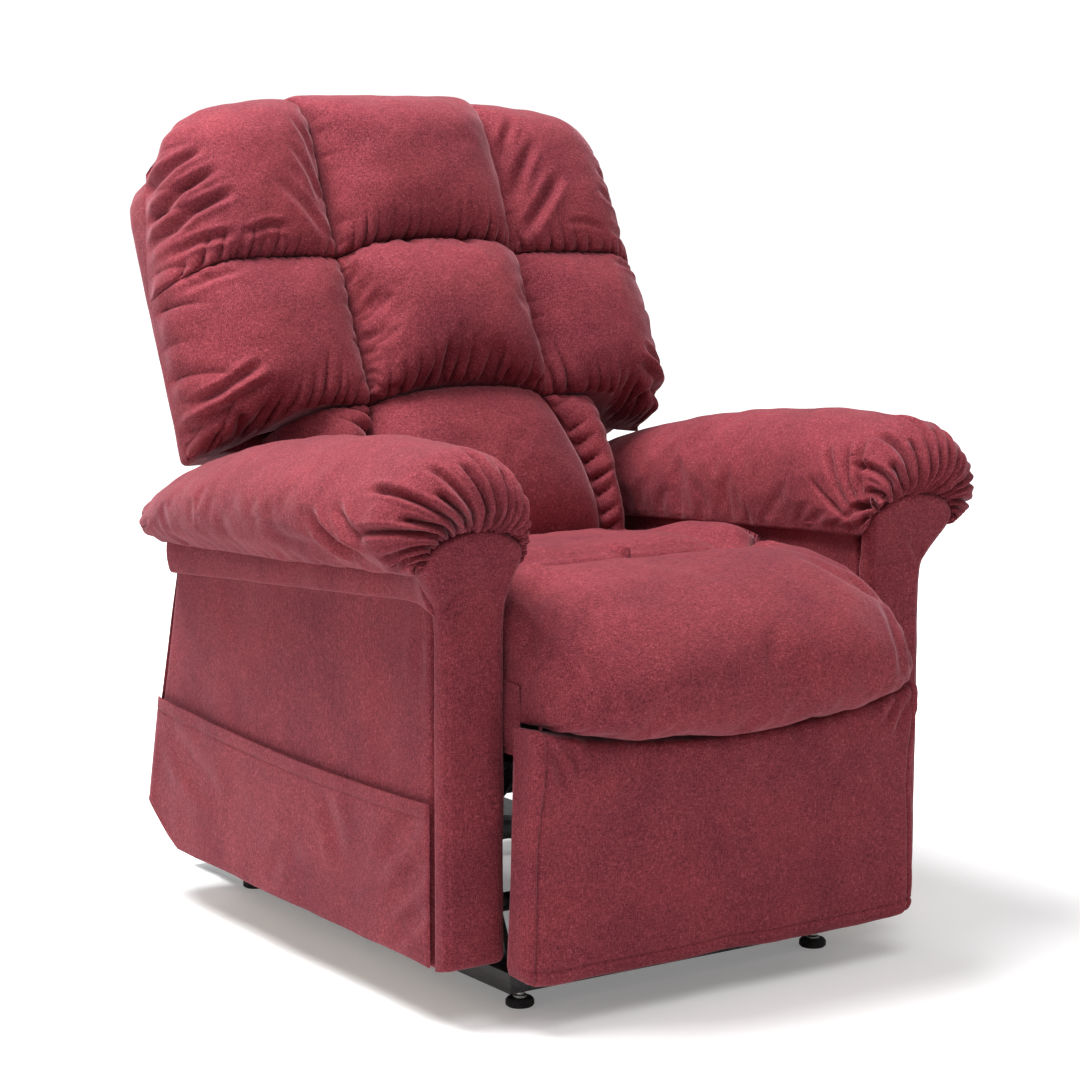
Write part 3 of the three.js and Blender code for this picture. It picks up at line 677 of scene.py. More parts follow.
# ----------------------------------------------------------------- seat cushion
def seat_loops(nx=86, nu=150):
    end = [(0.096, 0.402), (0.092, 0.462), (0.04, 0.474), (-0.06, 0.486), (-0.14, 0.497), (-0.22, 0.497), (-0.285, 0.490), (-0.345, 0.470), (-0.395, 0.437), (-0.428, 0.400),
           (-0.436, 0.372), (-0.432, 0.3615), (-0.405, 0.362), (-0.375, 0.366), (-0.352, 0.380), (-0.345, 0.402), (-0.20, 0.4025), (-0.05, 0.402)]
    mid = [(0.100, 0.402), (0.097, 0.476), (0.04, 0.500), (-0.06, 0.517), (-0.14, 0.522), (-0.22, 0.520), (-0.32, 0.515), (-0.40, 0.503), (-0.462, 0.474), (-0.502, 0.434),
           (-0.519, 0.396), (-0.513, 0.364), (-0.487, 0.341), (-0.446, 0.331), (-0.375, 0.345), (-0.347, 0.402), (-0.20, 0.4025), (-0.05, 0.402)]
    E, M = np.array(end), np.array(mid)
    xs = dense(nx, 0.72) * 0.274
    loops = []
    for x in xs:
        a = abs(x) / 0.274
        c = (1 - a ** 4.2) ** 0.5
        # the front edge follows the curved seam over the footrest: lowest at the middle
        zseam = 0.3315 + 0.034 * a ** 2.2
        K = E + (M - E) * c
        K[12:14, 1] = np.maximum(K[12:14, 1], zseam)
        K[11, 1] = max(K[11, 1], zseam + 0.010)
        L = spline(K, nu, closed=True)
        loops.append(np.c_[np.full(nu, x), L])
    return np.array(loops)


SEATL = seat_loops()
seat = tube("seat_cushion_cover", SEATL)
Ps = co(seat)
remember(seat, x=Ps[:, 0], y=Ps[:, 1], z=Ps[:, 2])
pin = ((Ps[:, 2] < 0.404) & (Ps[:, 1] > -0.352)) | (np.abs(Ps[:, 0]) > 0.2735) | (Ps[:, 1] > 0.085) | ((Ps[:, 2] < 0.345 + 0.033 * (np.abs(Ps[:, 0]) / 0.274) ** 2.2) & (Ps[:, 1] > -0.45))
queue_cloth(seat, pin * 1.0, pressure=2.5, grow=0.015, cap=0.010, bend=2.0)

# ----------------------------------------------------------------- arms
SEC = [(.300, .536), (.266, .537), (.2600, .566), (.2592, .602), (.266, .640), (.284, .668), (.312, .685), (.342, .689), (.376, .683), (.412, .662), (.444, .630), (.457, .598), (.452, .568), (.430, .549),
       (.402, .540), (.363, .537)]


def arm_section(nu_top, nu_bot):
    S = np.array(SEC)
    top = spline(S[1:15], nu_top)
    bot = spline(np.array([S[14], S[15], S[0], S[1]]), nu_bot + 2)[1:-1]
    return top, bot


def arm_loops(nt=120, nb=20):
    top, bot = arm_section(nt, nb)
    full = np.vstack([top, bot])
    # arch of the front panel, inner end to outer end
    arch = spline([(.264, .549), (.2685, .567), (.280, .578), (.297, .5865), (.324, .5915), (.351, .5895), (.377, .581), (.394, .566), (.3985, .549)], nt)
    under = np.linspace(0, 1, nb + 2)[1:-1, None] * (arch[0] - arch[-1]) + arch[-1]
    loops = []
    ys = np.r_[0.316 - np.array([0, .0015, .005, .011, .020, .034]), np.linspace(0.262, -0.352, 92)]
    for y in ys:
        # the roll is tallest at the front and falls away to the rear
        h = interp(y, [-0.40, -0.226, 0.016, 0.18, 0.25, 0.29, 0.316], [-0.006, -0.006, -0.032, -0.066, -0.084, -0.102, -0.124])
        zb = 0.536 - (y + 0.361) * 0.0505
        P = full.copy()
        t = (P[:, 1] - 0.536) / (0.689 - 0.536)
        top_z = 0.689 + h
        P[:, 1] = zb + np.clip(t, -0.02, 1.1) * (top_z - zb)
        r = interp(y, [0.20, 0.28, 0.305, 0.316], [1.0, 0.985, 0.94, 0.86])
        wd = interp(y, [-0.36, -0.10, 0.08, 0.20, 0.27, 0.316], [0.965, 0.985, 0.96, 0.88, 0.80, 0.72])
        cx, cz = 0.352, (zb + top_z) / 2
        P[:, 0] = np.where(P[:, 0] > 0.30, 0.30 + (P[:, 0] - 0.30) * wd, P[:, 0])
        P[:, 0] = cx + (P[:, 0] - cx) * r
        P[:, 1] = cz + (P[:, 1] - cz) * r
        loops.append(np.c_[P[:, 0], np.full(len(P), y), P[:, 1]])
    # the front end: from the last section, forward over a nose and back to the arch
    base = loops[-1]
    arch3 = np.c_[arch[:, 0], -0.3575 - 0.35 * np.maximum(arch[:, 1] - 0.5, 0) - 0.004, arch[:, 1]]
    und3 = np.c_[under[:, 0], np.full(nb, -0.372), under[:, 1] - 0.002]
    A = np.vstack([arch3, und3])
    lam = np.linspace(0, 1, nt)
    # forward reach of the nose by position around the roll: least at the inner foot
    kf = np.r_[interp(lam, [0, .12, .25, .4, .55, .7, .85, 1], [0.020, 0.036, 0.058, 0.072, 0.067, 0.050, 0.036, 0.026]), np.full(nb, 0.02)]
    kb = np.r_[interp(lam, [0, .12, .25, .4, .55, .7, .85, 1], [0.012, 0.026, 0.046, 0.058, 0.053, 0.039, 0.026, 0.017]), np.full(nb, 0.0)]
    cen = np.array([0.331, 0.0, 0.566])
    for t in np.linspace(0, 1, 40)[1:]:
        t2 = t ** 0.92
        rad = A - cen
        rad[:, 1] = 0
        rad /= np.maximum(np.linalg.norm(rad, axis=1, keepdims=True), 1e-6)
        C1 = base + np.c_[np.zeros(len(base)), -kf, np.zeros(len(base))]
        C2 = A + rad * 0.013 + np.c_[np.zeros(len(base)), -kb, np.full(len(base), 0.006)]
        P = (1 - t2) ** 3 * base + 3 * (1 - t2) ** 2 * t2 * C1 + 3 * (1 - t2) * t2 ** 2 * C2 + t2 ** 3 * A
        loops.append(P)
    L = np.array(loops)
    cap_t = np.r_[np.zeros(len(ys)), np.linspace(0, 1, 40)[1:]]
    return L, cap_t, nt, nb


ARML, ARMT, NT, NB = arm_loops()
ARMS = {}
for sg, tag in ((1, "left"), (-1, "right")):
    L = ARML.copy()
    L[..., 0] *= sg
    ob = tube("arm_roll_" + tag, L)
    P = co(ob)
    lam = np.tile(np.r_[np.linspace(0, 1, NT), np.full(NB, -1.0)], len(ARML))
    ct = np.repeat(ARMT, NT + NB)
    remember(ob, x=P[:, 0] * sg, y=P[:, 1], z=P[:, 2], lam=lam, ct=ct)
    pin = ((lam < 0) | (ct > 0.995) | (P[:, 1] > 0.312) | ((np.abs(lam) < 0.03) | (lam > 0.965))) * 1.0
    queue_cloth(ob, pin, pressure=3.0, grow=0.012, cap=0.008, bend=3.0)
    ARMS[tag] = ob

# ----------------------------------------------------------------- footrest pad
def footrest_pad():
    nu, nv = 96, 70
    U, V = np.meshgrid(dense(nu, 0.6), dense(nv, 0.5))
    v = (V + 1) / 2
    half = 0.2985 + (0.290 - 0.2985) * v
    x = half * U
    ztop = 0.3275 + 0.0345 * np.abs(x / 0.29) ** 2.2
    zbot = 0.0565 + 0.004 * sst(0.80, 1.0, np.abs(U)) ** 2 + 0.0012 * noise1(x, 0.05, 41)
    z = zbot + (ztop - zbot) * v
    dx, db, dt = half - np.abs(x), z - zbot, ztop - z
    y = -0.4465 + 0.013 * ellip(dx, 0.016) + 0.012 * ellip(db, 0.018) + 0.010 * ellip(dt, 0.016)
    y = y - 0.0045 * (1 - U ** 2) * (1 - V ** 2) - 0.016 * sst(0.22, 0.335, z) * (1 - 0.3 * np.abs(U) ** 2)
    # corners rounded in the face plane
    cr = 0.018
    k = np.clip((cr - dx) / cr, 0, 1) * np.clip((cr - db) / cr, 0, 1)
    x = x - np.sign(x) * 0.006 * k
    z = z + 0.006 * k
    F = np.stack([x, y, z], -1)
    def ring(yy, ins):
        def f(B):
            C = B.copy()
            C[:, 1] = np.maximum(C[:, 1], yy)
            c = np.array([0, 0, 0.2])
            C[:, 0] -= np.sign(C[:, 0]) * ins * (np.abs(C[:, 0]) > 0.27)
            return C
        return f
    ob = patch("footrest_cover", F, [ring(-0.428, 0), ring(-0.418, 0), ring(-0.408, 0.0), ring(-0.3985, 0.001)])
    P = co(ob)
    m = nu * nv
    remember(ob, x=P[:, 0], z=P[:, 2], dx=np.r_[dx.ravel(), np.full(len(P) - m, -1)], db=np.r_[db.ravel(), np.full(len(P) - m, -1)], dt=np.r_[dt.ravel(), np.full(len(P) - m, -1)],
             f=np.r_[np.ones(m), np.zeros(len(P) - m)])
    pin = np.r_[((dx < 0.004) | (db < 0.004) | (dt < 0.004)).ravel() * 1.0, np.ones(len(P) - m)]
    queue_cloth(ob, pin, pressure=1.5, grow=0.01, cap=0.006, bend=2.0)
    return ob


foot = footrest_pad()

# ----------------------------------------------------------------- swell everything soft
run_cloth(20)

# ----------------------------------------------------------------- seams, gathers and folds on the back pillows
for key, ob in PADS.items():
    subdivide(ob, 1)
    X, S, D = recall(ob, "x"), recall(ob, "s"), recall(ob, "n")
    l, r, b, t, f = (recall(ob, q) for q in "lrbtf")
    side = key[1] == "s"
    sd = sum(ord(c) for c in key) * 7
    d = np.zeros(len(X))
    near = lambda q, w: 1 - sst(0.2 * w, w, q)
    if key[0] in "mt":
        # gathers above the seam at the foot of the pillow
        mul = {"t": 0.8, "m": 1.0}[key[0]]
        d += pleats(X, b, 0.0205, 0.066 * mul, 0.0135 * mul, sd, skew=0.25 * (1 if X.mean() > 0 else -1) if side else 0.0) * sst(-0.001, 0.006, b)
        d += pleats(X + 0.3, b, 0.0100, 0.024, 0.0042, sd + 9) * sst(-0.001, 0.004, b)
        # small puckers under the seam at its top
        if key[0] == "m":
            d += pleats(X, t, 0.015, 0.024, 0.0038, sd + 20)
    if key[0] == "b":
        d += pleats(X, t, 0.016, 0.020, 0.0030, sd + 21)
        if side:
            d += pleats(S, l, 0.026, 0.060, 0.0120, sd + 30, skew=-0.4) * (1 - sst(0.05, 0.09, l))
            d += pleats(S + 0.2, np.maximum(0.07 - l, 0), 0.030, 0.05, 0.004, sd + 31)
    if key[0] in "tm" and not side:
        d += pleats(S, np.minimum(l, r), 0.030, 0.022, 0.0025, sd + 40)
    if side and key[0] in "tm":
        d += pleats(S, l, 0.028, 0.030, 0.0035, sd + 41)
        # folds that wrap round the outer edge
        d += pleats(S, r, 0.042, 0.075, 0.0075, sd + 42, skew=0.55) * (0.35 + 0.65 * (noise1(S, 0.08, sd) > -0.2))
    Q = np.c_[np.abs(X), S]
    if key.startswith("ts"):
        for k, (p, w, dep) in enumerate([([(0.372, 0.700), (0.345, 0.722), (0.310, 0.735)], 0.006, 0.0085), ([(0.378, 0.655), (0.345, 0.685), (0.300, 0.700)], 0.006, 0.0095),
                                         ([(0.380, 0.622), (0.340, 0.650), (0.285, 0.664)], 0.0065, 0.0095), ([(0.376, 0.600), (0.345, 0.606), (0.295, 0.604)], 0.006, 0.007),
                                         ([(0.30, 0.600), (0.255, 0.612), (0.215, 0.612)], 0.005, 0.005),
                                         ([(0.150, 0.590), (0.185, 0.632), (0.235, 0.690)], 0.008, 0.008), ([(0.150, 0.640), (0.170, 0.690), (0.205, 0.745)], 0.007, 0.007),
                                         ([(0.148, 0.700), (0.160, 0.740), (0.185, 0.785)], 0.006, 0.006)]):
            s_ = 1.0 if (k < 5) == (key.endswith("right")) else 0.45
            d += crease(Q, p, w, dep * s_)
    if key.startswith("ms"):
        for p, w, dep in [([(0.385, 0.368), (0.345, 0.376), (0.285, 0.398)], 0.007, 0.010), ([(0.388, 0.392), (0.350, 0.400), (0.300, 0.425)], 0.006, 0.008),
                          ([(0.30, 0.352), (0.33, 0.366), (0.372, 0.372)], 0.006, 0.009), ([(0.378, 0.545), (0.340, 0.552), (0.290, 0.556)], 0.006, 0.005)]:
            d += crease(Q, p, w, dep)
    d += 0.0022 * noise(np.c_[X, S, D], 0.055, sd) * f + 0.0010 * noise(np.c_[X, S, D], 0.022, sd + 1) * f
    # keep folds off the rim itself, so that neighbours stay apart
    rim = np.minimum.reduce([l, r, b, t])
    push(ob, d * f * sst(-0.0005, 0.0035, rim))
    finish_piece(ob, "backrest", [ob["cad"]])

# ----------------------------------------------------------------- seat details
subdivide(seat, 1)
X, Y, Z = recall(seat, "x"), recall(seat, "y"), recall(seat, "z")
Nrm = normals(seat)
upw = sst(0.1, 0.6, Nrm[:, 2])
ax = np.abs(X)
d = np.zeros(len(X))
Q2 = np.c_[ax, Y]
cross = [(0.0, -0.236), (0.06, -0.238), (0.12, -0.243), (0.178, -0.254)]
diag = [(0.178, -0.250), (0.215, -0.225), (0.272, -0.165)]
longi = [(0.178, -0.250), (0.172, -0.180), (0.155, -0.10), (0.130, -0.02)]
cross_d = crease(Q2, cross, 0.034, 0.015, 0.0, 1e-6) + crease(Q2, cross, 0.0075, 0.011, 0.2, 1e-6)
d += cross_d * upw
d += (crease(Q2, diag, 0.028, 0.017, 0.0, 1e-6) + crease(Q2, diag, 0.007, 0.010, 0.2, 1e-6)) * upw * (1 - sst(0.255, 0.274, ax) * 0.6)
d += (crease(Q2, longi, 0.028, 0.018, 0.0, 1e-6) + crease(Q2, longi, 0.007, 0.011, 0.2, 1e-6)) * upw
d += -0.010 * np.exp(-(((ax - 0.178) ** 2 + (Y + 0.250) ** 2) / 0.014 ** 2)) * upw
d += 0.010 * sst(0.18, 0.235, ax) * (1 - sst(0.262, 0.274, ax)) * sst(-0.235, -0.17, Y) * (1 - sst(-0.03, 0.06, Y)) * upw
d += pleats(X, np.maximum(-0.232 - Y, 0), 0.022, 0.040, 0.0035, 71) * sst(-0.33, -0.29, Y) * (1 - sst(-0.235, -0.231, Y)) * upw * (ax < 0.19)
d += pleats(X, np.maximum(Y + 0.216, 0), 0.026, 0.030, 0.0030, 72) * sst(-0.217, -0.212, Y) * upw * (ax < 0.17)
for k in range(9):
    a = 0.3 + k * 0.42
    d += crease(Q2, [(0.178 + 0.010 * math.cos(a + 2.4), -0.250 + 0.010 * math.sin(a + 2.4)), (0.178 + 0.055 * math.cos(a + 2.4), -0.250 + 0.055 * math.sin(a + 2.4))], 0.004, 0.0035) * upw
# soft folds running down the front corners
fr = sst(-0.30, -0.40, Y)
d += fr * pleats(Z + 0.35 * ax, np.maximum(0.274 - ax, 0), 0.040, 0.070, 0.0050, 73, skew=-1.0)
d += fr * crease(np.c_[ax, Z], [(0.262, 0.475), (0.250, 0.42), (0.245, 0.375)], 0.008, 0.005)
d += fr * crease(np.c_[ax, Z], [(0.235, 0.470), (0.220, 0.42), (0.214, 0.365)], 0.009, 0.004)
d += fr * pleats(X, np.maximum(Z - 0.340 - 0.034 * (ax / 0.274) ** 2.2, 0), 0.024, 0.030, 0.0016, 74)
d += 0.0030 * noise(np.c_[X, Y, Z], 0.085, 75) + 0.0012 * noise(np.c_[X, Y, Z], 0.030, 76)
low = (Z < 0.41) & (Y > -0.36)
d[low] = 0
d[ax > 0.2738] = np.minimum(d[ax > 0.2738], 0)
push(seat, d)
P = co(seat)
P[:, 0] = np.clip(P[:, 0], -0.2775, 0.2775)
P[:, 1] = np.maximum(P[:, 1], -0.538)
set_co(seat, P)
finish_piece(seat, "chassis", ["seat_cushion"])

# ----------------------------------------------------------------- arm roll details
for tag, ob in ARMS.items():
    sg = 1 if tag == "left" else -1
    subdivide(ob, 1)
    X, Y, Z, lam, ct = (recall(ob, q) for q in ("x", "y", "z", "lam", "ct"))
    on = sst(-0.05, 0.03, lam)
    d = np.zeros(len(X))
    arcl = 0.34
    dist = (1 - ct) * 0.135 + np.maximum(Y + 0.352, 0)
    fan = pleats(lam * arcl, dist, 0.0190, 0.120, 0.0120, 81 + sg, sharp=2.4, jitter=0.55) * sst(0.0, 0.03, 1 - ct + 0.015)
    fan2 = pleats(lam * arcl + 0.4, dist, 0.0095, 0.055, 0.0055, 84 + sg, sharp=2.0)
    d += (fan + fan2) * on
    # single long folds that run back over the shoulder of the roll
    LD = np.c_[lam * arcl, dist]
    for k, (l0, ln, sk) in enumerate([(0.92, 0.100, 0.030), (0.865, 0.150, 0.030), (0.81, 0.120, 0.026), (0.755, 0.165, 0.022), (0.70, 0.110, 0.018), (0.645, 0.150, 0.014), (0.60, 0.105, 0.010), (0.55, 0.145, 0.005), (0.50, 0.110, 0.000), (0.455, 0.150, -0.004), (0.41, 0.115, -0.008), (0.36, 0.150, -0.010), (0.31, 0.110, -0.014), (0.26, 0.150, -0.018), (0.21, 0.115, -0.020), (0.16, 0.140, -0.022), (0.11, 0.10, -0.022)]):
        l0 = l0 + 0.02 * (rnd(k, 300 + sg) - 0.5)
        ln = ln * (0.85 + 0.3 * rnd(k, 310 + sg))
        a0, a1 = l0 * arcl, (l0 * arcl + sk)
        d += crease(LD, [(a0, 0.0), (0.55 * a0 + 0.45 * a1, 0.45 * ln), (a1, ln)], 0.0040, 0.0095 * (0.70 + 0.6 * rnd(k, 320 + sg)), 0.22, 0.16) * on
    Q = np.c_[Y, Z]
    outer = sst(0.38, 0.42, X)
    inner = 1 - sst(0.28, 0.31, X)
    d += outer * crease(Q, [(-0.215, 0.605), (-0.245, 0.577), (-0.285, 0.560), (-0.335, 0.553)], 0.0085, 0.014)
    d += outer * crease(Q, [(-0.270, 0.615), (-0.310, 0.590), (-0.352, 0.575)], 0.007, 0.007)
    d += outer * crease(Q, [(-0.10, 0.560), (-0.17, 0.556), (-0.25, 0.552)], 0.010, 0.005)
    for p, w, dep in [([(-0.365, 0.560), (-0.325, 0.600), (-0.285, 0.655)], 0.006, 0.010), ([(-0.372, 0.565), (-0.345, 0.610), (-0.322, 0.662)], 0.006, 0.010), ([(-0.376, 0.575), (-0.362, 0.618), (-0.350, 0.668)], 0.006, 0.009),
                      ([(-0.360, 0.556), (-0.310, 0.578), (-0.262, 0.610)], 0.006, 0.008)]:
        d += inner * crease(Q, p, w, dep)
    # gathers along the foot of the roll where it meets the band, and at the rear end
    foot_d = np.maximum(np.minimum(lam, 1 - lam), 0) * arcl
    d += pleats(Y, foot_d, 0.045, 0.045, 0.0035, 86 + sg) * on * (1 - sst(0.0, 0.2, ct))
    d += pleats(lam * arcl, np.maximum(0.300 - Y, 0), 0.024, 0.060, 0.0050, 88 + sg) * on
    d += (0.0018 * noise(np.c_[X, Y, Z], 0.085, 90) + 0.0011 * noise(np.c_[X, Y, Z], 0.028, 91)) * on
    d = np.where(X < 0.268, np.minimum(d, 0.0015), d)
    push(ob, d)
    P = co(ob)
    P[:, 0] = sg * np.clip(P[:, 0] * sg, 0.2562, 0.472)
    P[:, 1] = np.maximum(P[:, 1], -0.500)
    set_co(ob, P)
    finish_piece(ob, "chassis", ["arm_pad_" + tag])

# ----------------------------------------------------------------- footrest details
subdivide(foot, 1)
X, Z, dx, db, dt, f = (recall(foot, q) for q in ("x", "z", "dx", "db", "dt", "f"))
d = np.zeros(len(X))
seamd = np.abs(dx - 0.0135)
d += -0.0028 * np.exp(-(seamd / 0.0022) ** 2) * f + 0.0012 * np.exp(-((dx - 0.0080) / 0.004) ** 2) * f
d += pleats(X, dt, 0.030, 0.050, 0.0030, 95) * f
d += f * crease(np.c_[np.abs(X), Z], [(0.283, 0.348), (0.262, 0.325), (0.250, 0.290)], 0.007, 0.005)
d += f * crease(np.c_[np.abs(X), Z], [(0.268, 0.352), (0.244, 0.333), (0.225, 0.305)], 0.007, 0.0035)
d += f * pleats(Z, dx, 0.055, 0.050, 0.0022, 96)
d += f * (0.0022 * noise(np.c_[X, Z, Z * 0], 0.10, 97) + 0.0009 * noise(np.c_[X, Z, Z * 0], 0.035, 98))
d += -0.0020 * np.exp(-((db - 0.020) / 0.0020) ** 2) * f
push(foot, d)
finish_piece(foot, "footrest", ["footrest_pad"])

# ----------------------------------------------------------------- arm panels
def wrinkle(Yv, Zv, seed, a=0.003):
    P3 = np.stack([Yv, Zv, Yv * 0], -1)
    return a * noise(P3, 0.16, seed) + a * 0.35 * noise(P3, 0.06, seed + 1) + a * 0.12 * noise(P3, 0.025, seed + 2)


def side_rear(z):
    return interp(z, [0.069, 0.078, 0.125, 0.280, 0.461, 0.498, 0.533], [0.296, 0.316, 0.394, 0.357, 0.302, 0.312, 0.314])


def side_panel(sg, tag):
    nu, nv = 120, 84
    U, V = np.meshgrid(dense(nu, 0.45), dense(nv, 0.45))
    v = (V + 1) / 2
    zt = lambda y: 0.5295 - (y + 0.333) * 0.0541
    hem = lambda y: 0.070 + interp(y, [-0.34, 0.306, 0.397], [0.0, 0.007, 0.052]) + 0.0012 * noise1(y, 0.06, 51)
    y = None
    yf = -0.3450
    zz = 0.074 + (0.5 - 0.074) * v
    for _ in range(3):
        yr = side_rear(zz) + 0.002
        y = yf + (yr - yf) * (U + 1) / 2
        zz = hem(y) + (zt(y) - hem(y)) * v
    z = zz
    yr = side_rear(z) + 0.002
    df, dr, db, dt = y - yf, yr - y, z - hem(y), zt(y) - z
    puff = 0.3622 + 0.0035 * (1 - U ** 2) * (1 - V ** 2)
    x = puff - 0.006 * ellip(df, 0.010) - 0.007 * ellip(dr, 0.014) - 0.006 * ellip(db, 0.012) - 0.002 * ellip(dt, 0.01)
    x = x + wrinkle(y, z, 52 + sg, 0.0030)
    Q = np.stack([y.ravel(), z.ravel()], -1)
    g = crease(Q, [(-0.345, 0.500), (-0.325, 0.455), (-0.318, 0.39)], 0.012, 0.0025).reshape(y.shape)
    x = x + g
    x = np.minimum(x, 0.3655)
    F = np.stack([sg * x, y, z], -1)
    def ring(xx):
        def fn(B):
            C = B.copy()
            C[:, 0] = sg * xx
            return C
        return fn
    ob = patch("arm_side_cover_" + tag, F, [ring(0.3545), ring(0.3530)])
    subdivide(ob, 1)
    return finish_piece(ob, "chassis", ["arm_side_panel_" + tag])


def band(sg, tag):
    """The strip between the side panel and the roll; its lower edge is turned under and stands a little proud."""
    nu, nv = 150, 18
    U, V = np.meshgrid(np.linspace(-1, 1, nu), dense(nv, 0.5))
    y = -0.3600 + (0.3140 + 0.3600) * (U + 1) / 2
    lowz = interp(y, [-0.361, -0.330, -0.30, 0.291, 0.314], [0.4900, 0.5000, 0.5010, 0.4615, 0.4600])
    topz = 0.5335 - (y + 0.333) * 0.0541 + 0.004
    z = lowz + (topz - lowz) * (V + 1) / 2
    db, dt = z - lowz, topz - z
    flare = interp(y, [-0.361, -0.335, -0.28], [0.010, 0.004, 0.0])
    x = 0.3690 + 0.003 * (V + 1) / 2 + 0.0025 * (1 - V ** 2) - 0.004 * ellip(db, 0.004) + flare * (V + 1) / 2 * 1.6
    x = x + 0.0012 * noise(np.stack([y, z, z * 0], -1), 0.05, 61 + sg)
    x = x - 0.004 * ellip(0.314 - y, 0.008)
    F = np.stack([sg * x, y, z], -1)
    def ring(xx):
        def fn(B):
            C = B.copy()
            C[:, 0] = sg * xx
            return C
        return fn
    ob = patch("arm_band_" + tag, F, [ring(0.3655), ring(0.3632)])
    subdivide(ob, 1)
    return finish_piece(ob, "chassis")


def pocket(sg, tag):
    """Patch pocket over the lower half of the side: hemmed top edge that sags, fabric bowing out over the hand control on one side."""
    nu, nv = 130, 70
    U, V = np.meshgrid(dense(nu, 0.45), dense(nv, 0.6))
    v = (V + 1) / 2
    hem = lambda y: 0.0735 + interp(y, [-0.34, 0.306, 0.397], [0.0, 0.007, 0.052]) + 0.0016 * noise1(y, 0.05, 51)
    top = lambda y: interp(y, [-0.345, -0.28, -0.20, -0.10, 0.0, 0.10, 0.20, 0.30, 0.36], [0.2690, 0.2675, 0.2665, 0.2665, 0.2680, 0.2715, 0.2760, 0.2820, 0.2860])
    yf = -0.3462
    zz = 0.08 + 0.19 * v
    y = None
    for _ in range(3):
        yr = side_rear(zz) - 0.001
        y = yf + (yr - yf) * (U + 1) / 2
        zz = hem(y) + (top(y) - hem(y)) * v
    z = zz
    yr = side_rear(z) - 0.001
    df, dr, db, dt = y - yf, yr - y, z - hem(y), top(y) - z
    x = 0.3685 + 0.0035 * (1 - U ** 2) * v ** 1.5 + 0 * z
    if sg > 0:
        x = x + 0.026 * np.exp(-(((y + 0.06) / 0.10) ** 2)) * sst(0.02, 0.16, db) ** 0.8
        x = np.maximum(x, 0.3685)
    x = x - 0.003 * ellip(df, 0.006) - 0.004 * ellip(dr, 0.010) - 0.003 * ellip(db, 0.008)
    x = x + wrinkle(y, z, 55 + sg, 0.0032) * sst(0, 0.03, df) * sst(0, 0.03, dr)
    Q = np.stack([y.ravel(), z.ravel()], -1)
    g = 0
    for p, w, dep in [([(-0.345, 0.205), (-0.300, 0.160), (-0.245, 0.130)], 0.014, 0.0050), ([(-0.345, 0.150), (-0.305, 0.118), (-0.265, 0.098)], 0.012, 0.0045),
                      ([(-0.340, 0.255), (-0.290, 0.220), (-0.225, 0.190)], 0.016, 0.0040), ([(0.34, 0.25), (0.25, 0.20), (0.15, 0.17)], 0.02, 0.0030),
                      ([(-0.10, 0.25), (-0.13, 0.20), (-0.15, 0.15)], 0.016, 0.0025), ([(0.05, 0.10), (0.0, 0.14), (-0.06, 0.155)], 0.014, 0.0025)]:
        g = g + crease(Q, p, w, dep)
    x = x + g.reshape(y.shape)
    # turned hem at the mouth: a raised band with a stitch line under it
    x = x + 0.0012 * (1 - sst(0.016, 0.020, dt)) - 0.0012 * np.exp(-((dt - 0.019) / 0.0016) ** 2)
    x = np.maximum(x, 0.3668)
    F = np.stack([sg * x, y, z], -1)
    def ring(off, xx=None):
        def fn(B):
            C = B.copy()
            C[:, 0] = sg * (xx if xx else (np.abs(C[:, 0]) - off))
            return C
        return fn
    # the patch is a cloth layer, so its inner side follows its outer one
    inner = F.copy()
    inner[..., 0] = sg * np.maximum(np.abs(F[..., 0]) - 0.0022, 0.3658)
    nvv, nuu = U.shape
    idx = np.arange(nuu * nvv).reshape(nvv, nuu)
    b = list(idx[0, :]) + list(idx[1:, -1]) + list(idx[-1, -2::-1]) + list(idx[-2:0:-1, 0])
    off = nuu * nvv
    faces = grid_quads(nvv, nuu) + [tuple(reversed([q + off for q in f])) for f in grid_quads(nvv, nuu)]
    for k in range(len(b)):
        m = (k + 1) % len(b)
        faces.append((b[m], b[k], b[k] + off, b[m] + off))
    ob = obj_from("side_pocket_cover_" + tag, np.vstack([F.reshape(-1, 3), inner.reshape(-1, 3)]), faces)
    subdivide(ob, 1)
    return finish_piece(ob, "chassis", ["side_pocket_" + tag])


